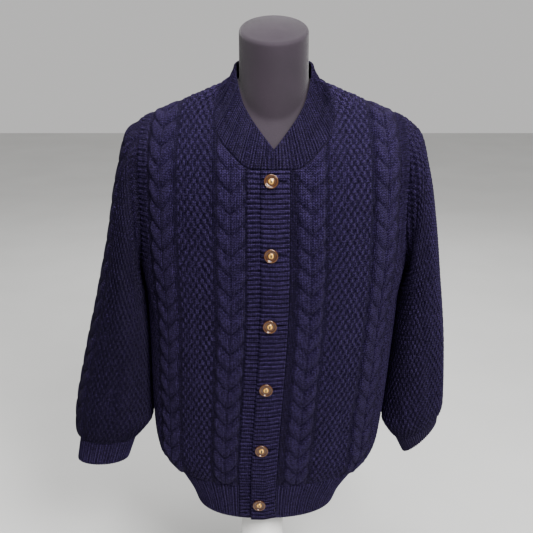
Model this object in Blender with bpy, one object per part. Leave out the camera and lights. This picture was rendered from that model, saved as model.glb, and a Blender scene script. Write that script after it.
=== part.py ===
"""Cable-knit button cardigan on a limbless dress form with a post and a round base.

Sizes are in millimetres until a mesh is made. +Z is up, the front faces -Y, and the
origin is the centre of the base's underside. Left and right are the wearer's.
"""
import math

import bpy
import numpy as np

MM = 0.001

# ---- driving sizes ----
SEAM_GAP = 0.3              # between two sewn pieces
LAP_GAP = 0.5               # between layers that lie on each other
NECK_GAP = 0.9              # between the neckline and the neckband, whose walls meet at an angle
WALL = 3.0                  # knit, without its raised stitches
FORM_CLEARANCE = 4.6        # dress form below the knit's outer ground, at the shoulders
HEM_LOW = 237.0             # lowest edge of the hem rib
HEM_TOP = 308.0             # seam between the hem rib and the body
GIRTH_QUARTER = 280.0       # knitted width from a centre line to a side seam
SHOULDER_PEAK = 1019.0      # the two shoulder lines meet here, above the neck
SHOULDER_SLOPE = 0.42
RIDGE_Y = 5.0               # shoulder seam, seen from the side
SHOULDER_ROUND = 130.0      # height over which a shoulder turns into the chest
NECK_X = 20.0               # the form leans: its neck stands this far beside the post
BAND_FREE_EDGE = -19.5      # buttonhole band, from the centre line of the front
BAND_SEAM = 24.4
UNDER_FREE_EDGE = -0.8      # button band
UNDER_SEAM = -42.0
BAND_PITCH = 7.5            # one rib and one furrow
BAND_LIFT = WALL + 1.2 + LAP_GAP + 0.3
RIB_HEIGHT = 1.2
HEM_RIBS_PER_QUARTER = 32
CUFF_RIBS = 36
NECK_RIBS = (32, 30, 30)    # wearer's left front, back, and right front of the neckband
CABLE_WIDTH = 45.0
CABLE_HEIGHT = 5.0
CABLE_PITCH = 33.0
CABLE_SLANT = 1.05          # rise of a strand for each millimetre sideways
MOSS_HEIGHT = 1.5
INNER_CABLE = {1: 57.5, -1: 67.5}    # centre of the cable beside the front bands, by side
OUTER_CABLE = 179.5
BACK_INNER_CABLE = 62.0

# ---- the torso's level sections, hem to shoulders ----
# height, half width on the right and on the left, y of the front, of the sides and of the back
TORSO = np.array([
    (237, 117, 130, -77, 18, 120),
    (262, 126, 140, -80, 16, 126),
    (290, 141, 158, -85, 14, 133),
    (308, 153, 172, -89, 13, 138),
    (325, 168, 187, -97, 11, 143),
    (345, 182, 197, -102, 9, 146),
    (370, 190, 202, -104, 8, 147),
    (400, 194, 204, -107, 6, 146),
    (450, 198, 206, -113, 4, 143),
    (510, 202, 207, -120, 2, 138),
    (620, 210, 210, -125, 0, 131),
    (690, 220, 220, -126, 0, 130),
    (740, 224, 224, -125, 0, 129),
    (800, 228, 228, -119, 0, 125),
    (846, 232, 232, -110, 0, 119),
    (870, 234, 234, -103, 1, 113),
    (905, 236, 236, -88, 2, 101),
    (940, 236, 236, -72, 3, 86),
    (980, 236, 236, -56, 4, 70),
    (1020, 236, 236, -48, 5, 60),
], float)
SECTION_POWER = 2.35

# the armhole's edge on each panel: height, and knitted distance from the centre line
ARMHOLE_LOW = 690.0
ARMHOLE = np.array([
    (690, 280), (693, 268), (702, 254), (716, 243), (736, 236), (765, 232),
    (805, 229), (850, 227), (890, 225), (940, 223),
], float)

# the front neckline: knitted distance from the centre line, and height
FRONT_NECK = np.array([
    (0, 862), (34, 863), (46, 867), (56, 875), (66, 885), (76, 895), (86, 906),
    (93, 921), (97, 938), (101.5, 955), (106.5, 967), (109.5, 976), (111, 981.6), (112, 990),
], float)
BACK_NECK = np.array([
    (0, 964), (30, 965), (60, 968), (82.5, 971), (97.5, 975), (107, 978.3), (109.5, 979.8), (111, 981.5),
    (112, 990),
], float)
SHOULDER_ARC = 112.0        # knitted distance at which the neckline meets the shoulder
NECK_LEAN = 30.0            # how far the columns lean towards the neck at the top

SLEEVE_SET_BACK = 24.0      # where a sleeve is widest, its underarm line lies this far back

# a sleeve's stations from the armhole down to the cuff, by side: x and z of the outer line,
# x and z of the underarm line, y of the middle and half the depth; x is from the neck's centre
SLEEVES = {
    -1: np.array([
        (237, 903, 224, 672, 0, 64), (248, 860, 221, 650, -2, 72),
        (257, 822, 217, 625, -4, 78), (264, 780, 215.5, 594, -6, 82),
        (272, 735, 214, 562, -8, 84), (284, 681, 214, 530, -10, 82),
        (299, 616, 214, 494, -12, 76), (314, 556, 214, 462, -13, 70),
        (327, 500, 214, 436, -14, 63), (338, 450, 214, 418, -14, 57),
        (344, 410, 216, 402, -14, 51), (345, 384, 228, 386, -13, 44),
        (342, 366, 246, 366, -12, 35),
    ], float),
    1: np.array([
        (239, 903, 224, 672, 0, 64), (250, 862, 219, 650, -2, 72),
        (258, 826, 214, 625, -4, 78), (265, 780, 211, 594, -6, 82),
        (271, 735, 208, 562, -8, 84), (277, 681, 205.5, 530, -10, 83),
        (285, 616, 202.5, 494, -11, 79), (291, 556, 200, 462, -11, 75),
        (294, 505, 197.5, 434, -11, 71), (296, 462, 196, 414, -10, 66),
        (297, 436, 196, 397, -9, 58), (296, 419, 207, 377, -4, 49),
        (293, 408, 221, 359, 2, 40),
    ], float),
}
CUFF_ENDS = {-1: (350, 322, 261, 324, -12, 31), 1: (296, 378, 239, 318, 22, 26)}
SLEEVE_CABLE_TURN = {-1: 20.0, 1: -50.0}    # degrees from the outer line to the front
SLEEVE_CABLE_DEGREES = 20.0                  # half the cable's width round the sleeve
SLEEVE_STEP = 30.0                           # widest turn between two plain columns

# the neckband's free edge on one half, from the front centre: the panel below and the knitted
# distance along it, then x, y and z of the edge and how far the band bows out
NECKBAND = (
    ("front", -19.5, -19.5, -103.5, 872, 0.0),
    ("front", 0.0, 0.0, -97.0, 893, 1.0),
    ("front", 30.0, 20.0, -80.0, 917, 2.0),
    ("front", 56.0, 36.0, -65.0, 938, 2.0),
    ("front", 80.0, 49.0, -46.0, 960, 0.0),
    ("front", 93.0, 56.5, -26.0, 982, -3.0),
    ("front", 99.0, 60.5, -10.0, 1001, -4.0),
    ("back", SHOULDER_ARC, 62.0, 8.0, 1014, -5.0),
    ("back", 60.0, 48.0, 40.0, 1019, -4.0),
    ("back", 0.0, 0.0, 63.0, 1021, -3.0),
)
NECKBAND_ROWS = 3

# ---- buttons ----
BUTTON_SIDES = 10
BUTTON_X = -4.6             # from the front's centre line
BUTTON_HEIGHTS = (846, 734, 618, 507, 390, 272)
BUTTON_PROFILE = (          # radius, height above the button's back
    (0.0, 0.0), (9.0, 0.0), (11.2, 2.2), (10.4, 4.6), (8.0, 3.0), (4.6, 2.8), (3.4, 4.3),
    (0.0, 4.6),
)

# ---- dress form and stand ----
# height, half width, y of the front and y of the back
FORM = np.array([
    (396, 150, -92, 96), (430, 157, -96, 104), (520, 160, -92, 104),
    (620, 170, -98, 106), (720, 186, -112, 116), (800, 194, -112, 118),
    (846, 198, -101, 108), (870, 200, -93, 101), (893, 202, -82, 94),
    (917, 203, -68, 85), (940, 204, -56, 73), (980, 204, -43, 59), (1020, 204, -38, 51),
], float)
# height and radius
FORM_NECK = np.array([
    (396, 40), (870, 42), (917, 54), (940, 56), (960, 56), (980, 55.6), (1000, 55.4),
    (1100, 55.4),
], float)
FORM_LOW = 396.0
NECK_TOP = 1069.0           # height of the neck's top face at its middle
NECK_TILT = 20.0            # degrees; the top face looks forward
NECK_DOME = 5.0
FORM_SIDES = 26
POST_RADIUS = 38.0
BASE_RADIUS = 150.0
BASE_HEIGHT = 14.0
BASE_BEVEL = 4.0
ROUND_SIDES = 32

NAVY = (0.012, 0.014, 0.055, 1.0)
CHARCOAL = (0.085, 0.082, 0.095, 1.0)
AMBER = (0.34, 0.20, 0.055, 1.0)
WHITE = (0.78, 0.78, 0.76, 1.0)


# ---------------------------------------------------------------- small helpers

def smooth_step(value, low, high):
    part = np.clip((value - low) / (high - low), 0.0, 1.0)
    return part * part * (3.0 - 2.0 * part)


def slopes_of(knots, values):
    """Slopes for a curve through the values that doesn't overshoot them."""
    step = np.diff(knots)
    rise = np.diff(values, axis=0)
    chord = rise / step.reshape((-1,) + (1,) * (values.ndim - 1))
    slope = np.zeros_like(values)
    same_way = chord[:-1] * chord[1:] > 0
    total = chord[:-1] + chord[1:]
    slope[1:-1] = np.where(same_way, 2 * chord[:-1] * chord[1:] / np.where(same_way, total, 1), 0)
    slope[0] = chord[0]
    slope[-1] = chord[-1]
    return slope


def curve_at(knots, values, at):
    """Smooth curve through rows of values at the knots, read at one or many places."""
    knots = np.asarray(knots, float)
    values = np.asarray(values, float)
    slope = slopes_of(knots, values)
    at = np.clip(np.asarray(at, float), knots[0], knots[-1])
    index = np.clip(np.searchsorted(knots, at, side="right") - 1, 0, len(knots) - 2)
    step = knots[index + 1] - knots[index]
    part = (at - knots[index]) / step
    shape = part.shape + (1,) * (values.ndim - 1)
    part = part.reshape(shape)
    step = step.reshape(shape)
    square = part * part
    cube = square * part
    return ((2 * cube - 3 * square + 1) * values[index] + (cube - 2 * square + part) * step * slope[index]
            + (3 * square - 2 * cube) * values[index + 1] + (cube - square) * step * slope[index + 1])


def unit(vectors):
    return vectors / np.maximum(np.linalg.norm(vectors, axis=-1, keepdims=True), 1e-9)


def sway(height):
    """Sideways place of the garment's centre line: the form leans over its post."""
    return NECK_X * smooth_step(height, 250.0, 700.0)


def ridge_height(across):
    return SHOULDER_PEAK - SHOULDER_SLOPE * across


# ---------------------------------------------------------------- torso surface

TABLE_HEIGHTS = np.arange(230.0, 1024.0, 2.0)
TABLE_ARCS = np.linspace(0.0, GIRTH_QUARTER, 181)


def quarter_section(half_width, depth_y, middle_y):
    """A quarter of a level section, from the centre line to the side, with its length."""
    turn = np.linspace(0.0, math.pi / 2, 241)
    across = half_width * np.sin(turn) ** (2 / SECTION_POWER)
    out = middle_y + (depth_y - middle_y) * np.cos(turn) ** (2 / SECTION_POWER)
    length = np.concatenate([[0.0], np.cumsum(np.hypot(np.diff(across), np.diff(out)))])
    return across, out, length


def section_tables():
    """For each side and face: x and y by height and knitted distance, and the girth."""
    tables = {}
    quarters = {}
    rows = curve_at(TORSO[:, 0], TORSO[:, 1:], TABLE_HEIGHTS)
    for side, width_column in ((-1, 0), (1, 1)):
        for face, depth_column in (("front", 2), ("back", 4)):
            across_table = []
            out_table = []
            girth = []
            for row in rows:
                across, out, length = quarter_section(row[width_column], row[depth_column], row[3])
                slack = GIRTH_QUARTER - length[-1]
                reach = TABLE_ARCS - slack * (TABLE_ARCS / GIRTH_QUARTER) ** 2
                across_table.append(np.interp(reach, length, across))
                out_table.append(np.interp(reach, length, out))
                girth.append(length[-1])
            tables[side, face] = (np.array(across_table), np.array(out_table))
            quarters[side, face] = np.array(girth)
    return tables, quarters


SECTIONS, QUARTERS = section_tables()


def read_table(table, height, arc):
    row = np.clip((height - TABLE_HEIGHTS[0]) / 2.0, 0, len(TABLE_HEIGHTS) - 1.001)
    column = np.clip(arc / GIRTH_QUARTER * (len(TABLE_ARCS) - 1), 0, len(TABLE_ARCS) - 1.001)
    low_row = row.astype(int)
    low_column = column.astype(int)
    row_part = row - low_row
    column_part = column - low_column
    low = table[low_row, low_column] * (1 - column_part) + table[low_row, low_column + 1] * column_part
    high = (table[low_row + 1, low_column] * (1 - column_part)
            + table[low_row + 1, low_column + 1] * column_part)
    return low * (1 - row_part) + high * row_part


def panel_arc(arc, height):
    """Knitted distance of a column at a height: columns close up at armhole and neck."""
    cable_edge = OUTER_CABLE + CABLE_WIDTH / 2 + 4
    edge = np.interp(height, ARMHOLE[:, 0], ARMHOLE[:, 1])
    edge = np.where(height <= ARMHOLE_LOW, GIRTH_QUARTER, edge)
    share = np.clip((arc - cable_edge) / (GIRTH_QUARTER - cable_edge), 0, 1)
    drawn = np.where(arc > cable_edge, cable_edge + share * (edge - cable_edge), arc)
    near_neck = np.interp(drawn, (60.0, SHOULDER_ARC, 150.0), (0.0, 1.0, 0.0))
    return drawn - NECK_LEAN * smooth_step(height, 935.0, 1000.0) * near_neck


def torso_point(arc, height, face):
    """Outer ground of the knit. The sign of arc gives the side: + is the wearer's left."""
    arc = np.asarray(arc, float)
    height = np.broadcast_to(np.asarray(height, float), arc.shape)
    drawn = panel_arc(np.abs(arc), height)
    across = np.zeros_like(drawn)
    seam = np.zeros_like(drawn)
    out = np.zeros_like(drawn)
    for side in (-1, 1):
        picked = arc < 0 if side < 0 else arc >= 0
        across_table, out_table = SECTIONS[side, face]
        across[picked] = read_table(across_table, height[picked], drawn[picked])
        seam[picked] = read_table(SECTIONS[side, "front"][0], height[picked], drawn[picked])
        out[picked] = read_table(out_table, height[picked], drawn[picked])
    down = ridge_height(seam) - height
    rounding = SHOULDER_ROUND * np.sqrt(np.clip(1 - (seam / 245.0) ** 2, 0.05, 1))
    part = np.clip(down / rounding, 0, 1)
    full = np.sqrt(np.clip(1 - (1 - part) ** 2, 0, 1))
    across = seam + (across - seam) * full
    seam_side = -1 if face == "front" else 1
    out = RIDGE_Y + (out - RIDGE_Y) * full + seam_side * SEAM_GAP / 2
    return np.stack([sway(height) + np.where(arc < 0, -across, across), out, height], axis=-1)


def shoulder_table():
    """Height at which each column reaches the shoulder line, found by halving steps."""
    height = np.full(TABLE_ARCS.shape, 950.0)
    for _ in range(40):
        point = torso_point(TABLE_ARCS, height, "front")
        height = 0.5 * height + 0.5 * ridge_height(point[..., 0] - sway(height))
    return height


SHOULDERS = shoulder_table()
ARMHOLE_TOP = float(SHOULDERS[-1])
TORSO_MIDDLE = np.array([NECK_X, RIDGE_Y, 600.0])
NECK_MIDDLE = np.array([NECK_X, RIDGE_Y, 930.0])


def shoulder_height(arc):
    return np.interp(np.abs(arc), TABLE_ARCS, SHOULDERS)


def column_top(arc, face):
    arc = np.abs(np.asarray(arc, float))
    neck = FRONT_NECK if face == "front" else BACK_NECK
    neckline = np.interp(arc, neck[:, 0], neck[:, 1])
    ridge = shoulder_height(arc)
    return np.where(arc < SHOULDER_ARC - 0.1, np.minimum(neckline, ridge), ridge)


def panel_point(arc, part, face, low=HEM_TOP):
    """Point of a panel: part runs from 0 at its lower edge to 1 at its upper edge."""
    arc = np.asarray(arc, float)
    part = np.broadcast_to(np.asarray(part, float), arc.shape)
    top = column_top(arc, face)
    height = low + (top - low) * np.sin(np.clip(part, 0, 1) * math.pi / 2)
    return torso_point(arc, height, face)


def outward(point_at, first, second, steps, limits, middle):
    """Unit normal of a surface, away from its middle, by differences within its limits."""
    after = np.minimum(second + steps[1], limits[1])
    before = np.maximum(second - steps[1], limits[0])
    along = point_at(first, after) - point_at(first, before)
    across = point_at(first + steps[0], second) - point_at(first - steps[0], second)
    normal = unit(np.cross(across, along))
    away = point_at(first, second) - middle
    return normal if (normal * away).sum() > 0 else -normal


# ---------------------------------------------------------------- raised stitches

def cable_relief(offset, along):
    """Height of a plaited cable at a place across it and along it."""
    away = np.abs(offset)
    half = CABLE_WIDTH / 2
    phase = (along - away * CABLE_SLANT) / CABLE_PITCH
    strand = 1 - np.abs(2 * (phase - np.floor(phase)) - 1)
    body = np.clip((half - away) / 6.0, 0, 1)
    dip = 1 - 0.25 * np.clip(1 - away / 6.0, 0, 1)
    return CABLE_HEIGHT * body * dip * (0.30 + 0.70 * strand)


def cable_rows(offset, length, inset=9.0):
    """Places along a column at which the cable's furrows and strand tops cross it."""
    shift = abs(offset) * CABLE_SLANT
    first = math.ceil((inset - shift) / CABLE_PITCH * 2)
    last = math.floor((length - inset - shift) / CABLE_PITCH * 2)
    return [0.0] + [step * CABLE_PITCH / 2 + shift for step in range(first, last + 1)] + [length]


def plain_rows(length, widest=85.0):
    """Places along a column of flat knit: closer where the cloth bends."""
    low = [0.0, 20.0, 44.0, 76.0]
    high = [length - away for away in (100.0, 62.0, 38.0, 21.0, 9.0, 0.0)]
    count = max(2, int((high[0] - low[-1]) / widest))
    return low + list(np.linspace(low[-1], high[0], count + 1)[1:-1]) + high


# ---------------------------------------------------------------- closed walls

def zipped(lower, upper):
    """Triangles between two chains of (key, index); the lower chain is on the left."""
    faces = []
    i = 0
    j = 0
    while i < len(lower) - 1 or j < len(upper) - 1:
        if i == len(lower) - 1:
            step_lower = False
        elif j == len(upper) - 1:
            step_lower = True
        else:
            across = abs(lower[i + 1][0] - upper[j][0])
            step_lower = across <= abs(upper[j + 1][0] - lower[i][0])
        if step_lower:
            faces.append((lower[i][1], upper[j][1], lower[i + 1][1]))
            i += 1
        else:
            faces.append((lower[i][1], upper[j][1], upper[j + 1][1]))
            j += 1
    return faces


def flipped(faces):
    return [(a, c, b) for a, b, c in faces]


class Column:
    """One chain of points up a wall, with the place of each along the chain."""

    def __init__(self, across, along, points, cable=None, offset=0.0):
        self.across = across
        self.along = [float(value) for value in along]
        self.points = [tuple(float(value) for value in point) for point in points]
        self.cable = cable
        self.offset = offset
        self.index = []

    def chain(self, slanted=False):
        shift = abs(self.offset) * CABLE_SLANT if slanted else 0.0
        return [(along - shift, index) for along, index in zip(self.along, self.index)]


def skin(columns, turn):
    """Faces of one side of a wall; a strand's rows are joined along its slant."""
    pairs = list(zip(columns, columns[1:]))
    if turn:
        pairs.append((columns[-1], columns[0]))
    faces = []
    for left, right in pairs:
        slanted = left.cable is not None and left.cable == right.cable
        faces += zipped(left.chain(slanted), right.chain(slanted))
    return faces


def rim_chain(columns, end, turn):
    chain = [(column.across, column.index[end]) for column in columns]
    if turn:
        chain.append((columns[0].across + turn, columns[0].index[end]))
    return chain


def wall_solid(name, outer, inner, paint, turn=0.0):
    """Closed solid between outer and inner columns; turn is a tube's full way round."""
    points = []
    for column in outer + inner:
        column.index = list(range(len(points), len(points) + len(column.points)))
        points += column.points
    faces = skin(outer, turn) + flipped(skin(inner, turn))
    faces += flipped(zipped(rim_chain(inner, 0, turn), rim_chain(outer, 0, turn)))
    faces += zipped(rim_chain(inner, -1, turn), rim_chain(outer, -1, turn))
    if not turn:
        faces += zipped(inner[0].chain(), outer[0].chain())
        faces += flipped(zipped(inner[-1].chain(), outer[-1].chain()))
    return add_solid(name, points, faces, paint)


def signed_volume(points, faces):
    points = np.array(points)
    corners = points[np.array(faces)]
    return float(np.einsum("ij,ij->i", corners[:, 0], np.cross(corners[:, 1], corners[:, 2])).sum()) / 6


def add_solid(name, points, faces, paint, location=(0, 0, 0), rotation=(0, 0, 0)):
    if signed_volume(points, faces) < 0:
        faces = flipped(faces)
    mesh = bpy.data.meshes.new(name)
    mesh.from_pydata([[value * MM for value in point] for point in points], [], faces)
    mesh.validate()
    mesh.shade_smooth()
    mesh.materials.append(paint)
    solid = bpy.data.objects.new(name, mesh)
    solid.location = [value * MM for value in location]
    solid.rotation_euler = rotation
    bpy.context.scene.collection.objects.link(solid)
    return solid


def material(name, colour, roughness, metallic=0.0):
    paint = bpy.data.materials.new(name)
    paint.use_nodes = True
    shader = paint.node_tree.nodes["Principled BSDF"]
    shader.inputs["Base Color"].default_value = colour
    shader.inputs["Roughness"].default_value = roughness
    shader.inputs["Metallic"].default_value = metallic
    return paint


# ---------------------------------------------------------------- body panels

FINE_PARTS = np.linspace(0.0, 1.0, 241)


def panel_column(arc, face, low, side_seam):
    """Outer and inner column of a panel at a signed knitted distance from the centre.

    side_seam holds the armhole's heights where the column is the panel's side edge.
    """
    arcs = np.full(FINE_PARTS.shape, float(arc))
    fine = panel_point(arcs, FINE_PARTS, face, low)
    along = np.concatenate([[0.0], np.cumsum(np.linalg.norm(np.diff(fine, axis=0), axis=1))])
    length = along[-1]
    cable, offset = cable_at(abs(arc), 1 if arc > 0 else -1, face)
    beside_band = face == "front" and abs(arc) < CABLE_WIDTH
    plain = plain_rows(length, 40.0) if beside_band else plain_rows(length)
    if len(side_seam):
        edge_along = np.interp(side_seam, fine[:, 2], along)
        plain = [value for value in plain if value < edge_along[0] - 8] + list(edge_along) + [length]
    rows = cable_rows(offset, length) if cable is not None else plain
    outer = wall_column(arc, rows, along, face, low)
    relief = []
    for value in rows:
        inside = 2.0 < value < length - 2.0
        if cable is not None:
            relief.append(cable_relief(offset, value) if inside else 0.0)
        else:
            relief.append(ground_relief(abs(arc), arc > 0, face) if inside else 0.0)
    outer_points = outer[0] + outer[1] * np.array(relief)[:, None]
    inner = wall_column(arc, plain, along, face, low)
    inner_points = inner[0] - inner[1] * WALL
    way = -arc if face == "back" else arc
    return (Column(way, rows, outer_points, cable, offset), Column(way, plain, inner_points))


def ground_normal(arcs, ground, face, low):
    """Outward normals at points of a panel, as if it ran on to the shoulder line."""
    share = np.clip((ground[:, 2] - low) / (shoulder_height(arcs) - low), 0.0, 1.0)

    def at(first, second):
        limited = np.clip(np.abs(first), 0.0, GIRTH_QUARTER) * np.where(first < 0, -1, 1)
        rise = np.sin(second * math.pi / 2)
        return torso_point(limited, low + (shoulder_height(limited) - low) * rise, face)

    parts = np.arcsin(share) * 2 / math.pi
    return outward(at, arcs, parts, (1.5, 0.015), (0.0, 1.0), TORSO_MIDDLE)


def ridge_normal(arc):
    """Upward normal on the shoulder line, the same for the front and the back."""
    return unit(np.array([SHOULDER_SLOPE * (1 if arc > 0 else -1), 0.0, 1.0]))


def wall_column(arc, rows, along, face, low):
    """Ground points and outward normals of a panel column at places along it."""
    parts = np.interp(rows, along, FINE_PARTS)
    arcs = np.full(parts.shape, float(arc))

    ground = panel_point(arcs, parts, face, low)
    normal = ground_normal(arcs, ground, face, low)
    normal[0, 2] = 0.0
    if column_top(arc, face) >= shoulder_height(arc) - 0.01:
        normal[-1] = ridge_normal(arc)
    if abs(arc) > GIRTH_QUARTER - 1:
        low_rows = ground[:, 2] <= ARMHOLE_LOW + 0.5
        normal[low_rows, 1] = 0.0
    return ground, unit(normal)


def cable_centres(side, face):
    if face == "back":
        return (BACK_INNER_CABLE, OUTER_CABLE)
    return (INNER_CABLE[side], OUTER_CABLE)


def cable_at(arc, side, face):
    """The cable that a column runs through, and its offset from that cable's centre."""
    for number, centre in enumerate(cable_centres(side, face)):
        if abs(arc - centre) <= CABLE_WIDTH / 2 + 0.01:
            return number, arc - centre
    return None, 0.0


def ground_relief(arc, left, face):
    """Moss stitch stands over the purl ditches beside the cables and at the edges."""
    side = 1 if left else -1
    for centre in cable_centres(side, face):
        if abs(arc - centre) < CABLE_WIDTH / 2 + 4:
            return 0.0
    if arc > GIRTH_QUARTER - 1:
        return 0.0
    if face == "front" and arc < (BAND_SEAM if left else -UNDER_SEAM) + 2:
        return 0.0
    return MOSS_HEIGHT


CABLE_OFFSETS = (-CABLE_WIDTH / 2, -13.0, 0.0, 13.0, CABLE_WIDTH / 2)
DITCH = 7.0
SIDE_ARCS = (233.0, 257.0, GIRTH_QUARTER)
NECK_ARCS = (95.0, 101.5, 106.5, 109.5, 111.0, SHOULDER_ARC, 128.0)


def half_arcs(first, inner, start_ditch):
    """Unsigned places of a half panel's columns, from its inner edge to the side."""
    arcs = [first] if start_ditch else []
    arcs += [inner + offset for offset in CABLE_OFFSETS]
    arcs.append(inner + CABLE_WIDTH / 2 + DITCH)
    arcs += [arc for arc in NECK_ARCS if arc > arcs[-1] + 1.5]
    arcs.append(OUTER_CABLE - CABLE_WIDTH / 2 - DITCH)
    arcs += [OUTER_CABLE + offset for offset in CABLE_OFFSETS]
    arcs.append(OUTER_CABLE + CABLE_WIDTH / 2 + DITCH)
    return arcs + list(SIDE_ARCS)


def back_arcs():
    """Unsigned places of a half back's columns, without the one at the centre."""
    ditch = BACK_INNER_CABLE - CABLE_WIDTH / 2 - DITCH
    return [ditch] + half_arcs(0.0, BACK_INNER_CABLE, False)


def panel(name, arcs, face, paint):
    outer = []
    inner = []
    for arc in arcs:
        side_seam = armhole_heights(1 if arc > 0 else -1, face) if abs(arc) > GIRTH_QUARTER - 1 else ()
        pair = panel_column(arc, face, HEM_TOP + SEAM_GAP / 2, side_seam)
        outer.append(pair[0])
        if keeps_inner(arc, face):
            inner.append(pair[1])
    return wall_solid(name, outer, inner, paint)


def keeps_inner(arc, face):
    """The plain inside needs only a cable's edges, and its middle where the side turns."""
    cable, offset = cable_at(abs(arc), 1 if arc > 0 else -1, face)
    at_edge = abs(offset) > CABLE_WIDTH / 2 - 1
    return cable is None or at_edge or abs(arc) < SHOULDER_ARC or abs(offset) < 1


def make_panels(paint):
    left = half_arcs(BAND_SEAM + SEAM_GAP, INNER_CABLE[1], True)
    right = half_arcs(-UNDER_SEAM + SEAM_GAP, INNER_CABLE[-1], True)
    panel("front_left", left, "front", paint)
    panel("front_right", [-arc for arc in reversed(right)], "front", paint)
    back = back_arcs()
    panel("back", list(reversed(back)) + [0.0] + [-arc for arc in back], "back", paint)


# ---------------------------------------------------------------- hem rib

def rib_arc(share, height, side, face):
    """Knitted distance at a share of the gathered quarter girth."""
    quarter = np.interp(height, TABLE_HEIGHTS, QUARTERS[side, face])
    slack = GIRTH_QUARTER - quarter
    bend = slack / GIRTH_QUARTER ** 2
    reach = share * quarter
    return (1 - np.sqrt(np.maximum(1 - 4 * bend * reach, 0))) / (2 * bend)


def rib_point(share, height, side, face, start):
    quarter = np.interp(height, TABLE_HEIGHTS, QUARTERS[side, face])
    first = (start - (GIRTH_QUARTER - quarter) * (start / GIRTH_QUARTER) ** 2) / quarter
    arc = rib_arc(first + (1 - first) * share, height, side, face)
    return torso_point(np.maximum(arc, 0.001) * side, height, face)


HEM_ROWS = (0.0, 0.5, 1.0)


def hem_columns(side, face, start, ribs):
    """Columns of a quarter of the hem rib, from its start to the side seam."""
    outer = []
    inner = []
    top = HEM_TOP - SEAM_GAP / 2
    heights = HEM_LOW + (top - HEM_LOW) * np.array(HEM_ROWS)

    def at(first, second):
        return rib_point(np.clip(first, 0, 1), second, side, face, start)

    for number in range(2 * ribs + 1):
        share = np.full(heights.shape, number / (2 * ribs))
        ground = at(share, heights)
        normal = outward(at, share, heights, (0.01, 2.0), (HEM_LOW, top), TORSO_MIDDLE)
        normal[0, 2] = 0.0
        normal[-1, 2] = 0.0
        if number == 2 * ribs:
            normal[:, 1] = 0.0
        normal = unit(normal)
        way = float(share[0]) * side * (-1 if face == "back" else 1)
        height = RIB_HEIGHT if number % 2 else 0.0
        outer.append(Column(way, heights, ground + normal * height))
        if number % 4 == 0:
            inner.append(Column(way, heights, ground - normal * WALL))
    return outer, inner


def make_hem(paint):
    for name, side, start in (("hem_rib_left", 1, BAND_SEAM), ("hem_rib_right", -1, -UNDER_SEAM)):
        outer, inner = hem_columns(side, "front", start + SEAM_GAP, HEM_RIBS_PER_QUARTER - 4)
        if side < 0:
            outer.reverse()
            inner.reverse()
        wall_solid(name, outer, inner, paint)
    outer_left, inner_left = hem_columns(1, "back", 0.0, HEM_RIBS_PER_QUARTER)
    outer_right, inner_right = hem_columns(-1, "back", 0.0, HEM_RIBS_PER_QUARTER)
    outer = outer_left[::-1] + outer_right[1:]
    inner = inner_left[::-1] + inner_right[1:]
    wall_solid("hem_rib_back", outer, inner, paint)


# ---------------------------------------------------------------- front bands

def band_lift(x):
    """The buttonhole band rises over the button band beside it."""
    return BAND_LIFT * (1 - smooth_step(x, 1.0, BAND_SEAM))


def band(name, edges, lifted, paint):
    """A band ribbed from side to side, between two signed places on the front."""
    outer = []
    inner = []
    for arc in edges:
        arcs = np.full(FINE_PARTS.shape, float(arc))
        fine = panel_point(arcs, FINE_PARTS, "front", HEM_LOW)
        along = np.concatenate([[0.0], np.cumsum(np.linalg.norm(np.diff(fine, axis=0), axis=1))])
        length = along[-1] - SEAM_GAP
        count = int(length / BAND_PITCH) * 2
        rows = np.linspace(0.0, length, count + 1)
        ground, normal = wall_column(arc, rows, along, "front", HEM_LOW)
        lift = band_lift(arc) if lifted else 0.0
        height = lift + RIB_HEIGHT * (np.arange(count + 1) % 2)
        outer.append(Column(arc, rows, ground + normal * height[:, None]))
        coarse = np.append(rows[:count - 2:4], rows[-1])
        ground, normal = wall_column(arc, coarse, along, "front", HEM_LOW)
        inner.append(Column(arc, coarse, ground + normal * (lift - WALL)))
    wall_solid(name, outer, inner, paint)


OVER_EDGES = (BAND_FREE_EDGE, 2.0, BAND_SEAM)
UNDER_EDGES = (UNDER_SEAM, UNDER_FREE_EDGE)


def make_bands(paint):
    band("buttonhole_band", OVER_EDGES, True, paint)
    band("button_band", UNDER_EDGES, False, paint)


# ---------------------------------------------------------------- neckband

def neckline_arcs(side, face):
    """Unsigned places at which the columns below the neckband end, from the centre out."""
    if face == "back":
        arcs = [0.0] + back_arcs()
    elif side > 0:
        arcs = list(OVER_EDGES) + half_arcs(BAND_SEAM + SEAM_GAP, INNER_CABLE[1], True)
    else:
        arcs = [-arc for arc in reversed(UNDER_EDGES)]
        arcs += half_arcs(-UNDER_SEAM + SEAM_GAP, INNER_CABLE[-1], True)
    return np.array([arc for arc in arcs if arc <= SHOULDER_ARC])


def seam_half(side):
    """Points of the neckline seam on one half, front to back, with their lengths."""
    rows = []
    normals = []
    front = neckline_arcs(side, "front")
    back = neckline_arcs(side, "back")[::-1]
    for face, arcs in (("front", front), ("back", back)):
        signed = arcs * side
        rows.append(torso_point(signed, column_top(signed, face), face))
        normal = ground_normal(signed, rows[-1], face, HEM_TOP)
        normal[arcs > SHOULDER_ARC - 0.1] = ridge_normal(side)
        normals.append(unit(normal))
    points = np.concatenate(rows + normals).reshape(2, -1, 3)
    points = np.concatenate([points[0], points[1]], axis=1)
    places = np.concatenate([front, 2 * SHOULDER_ARC + 1 - back])
    steps = np.linalg.norm(np.diff(points[:, :3], axis=0), axis=1)
    length = np.concatenate([[0.0], np.cumsum(steps)])
    return points, places, length


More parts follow.
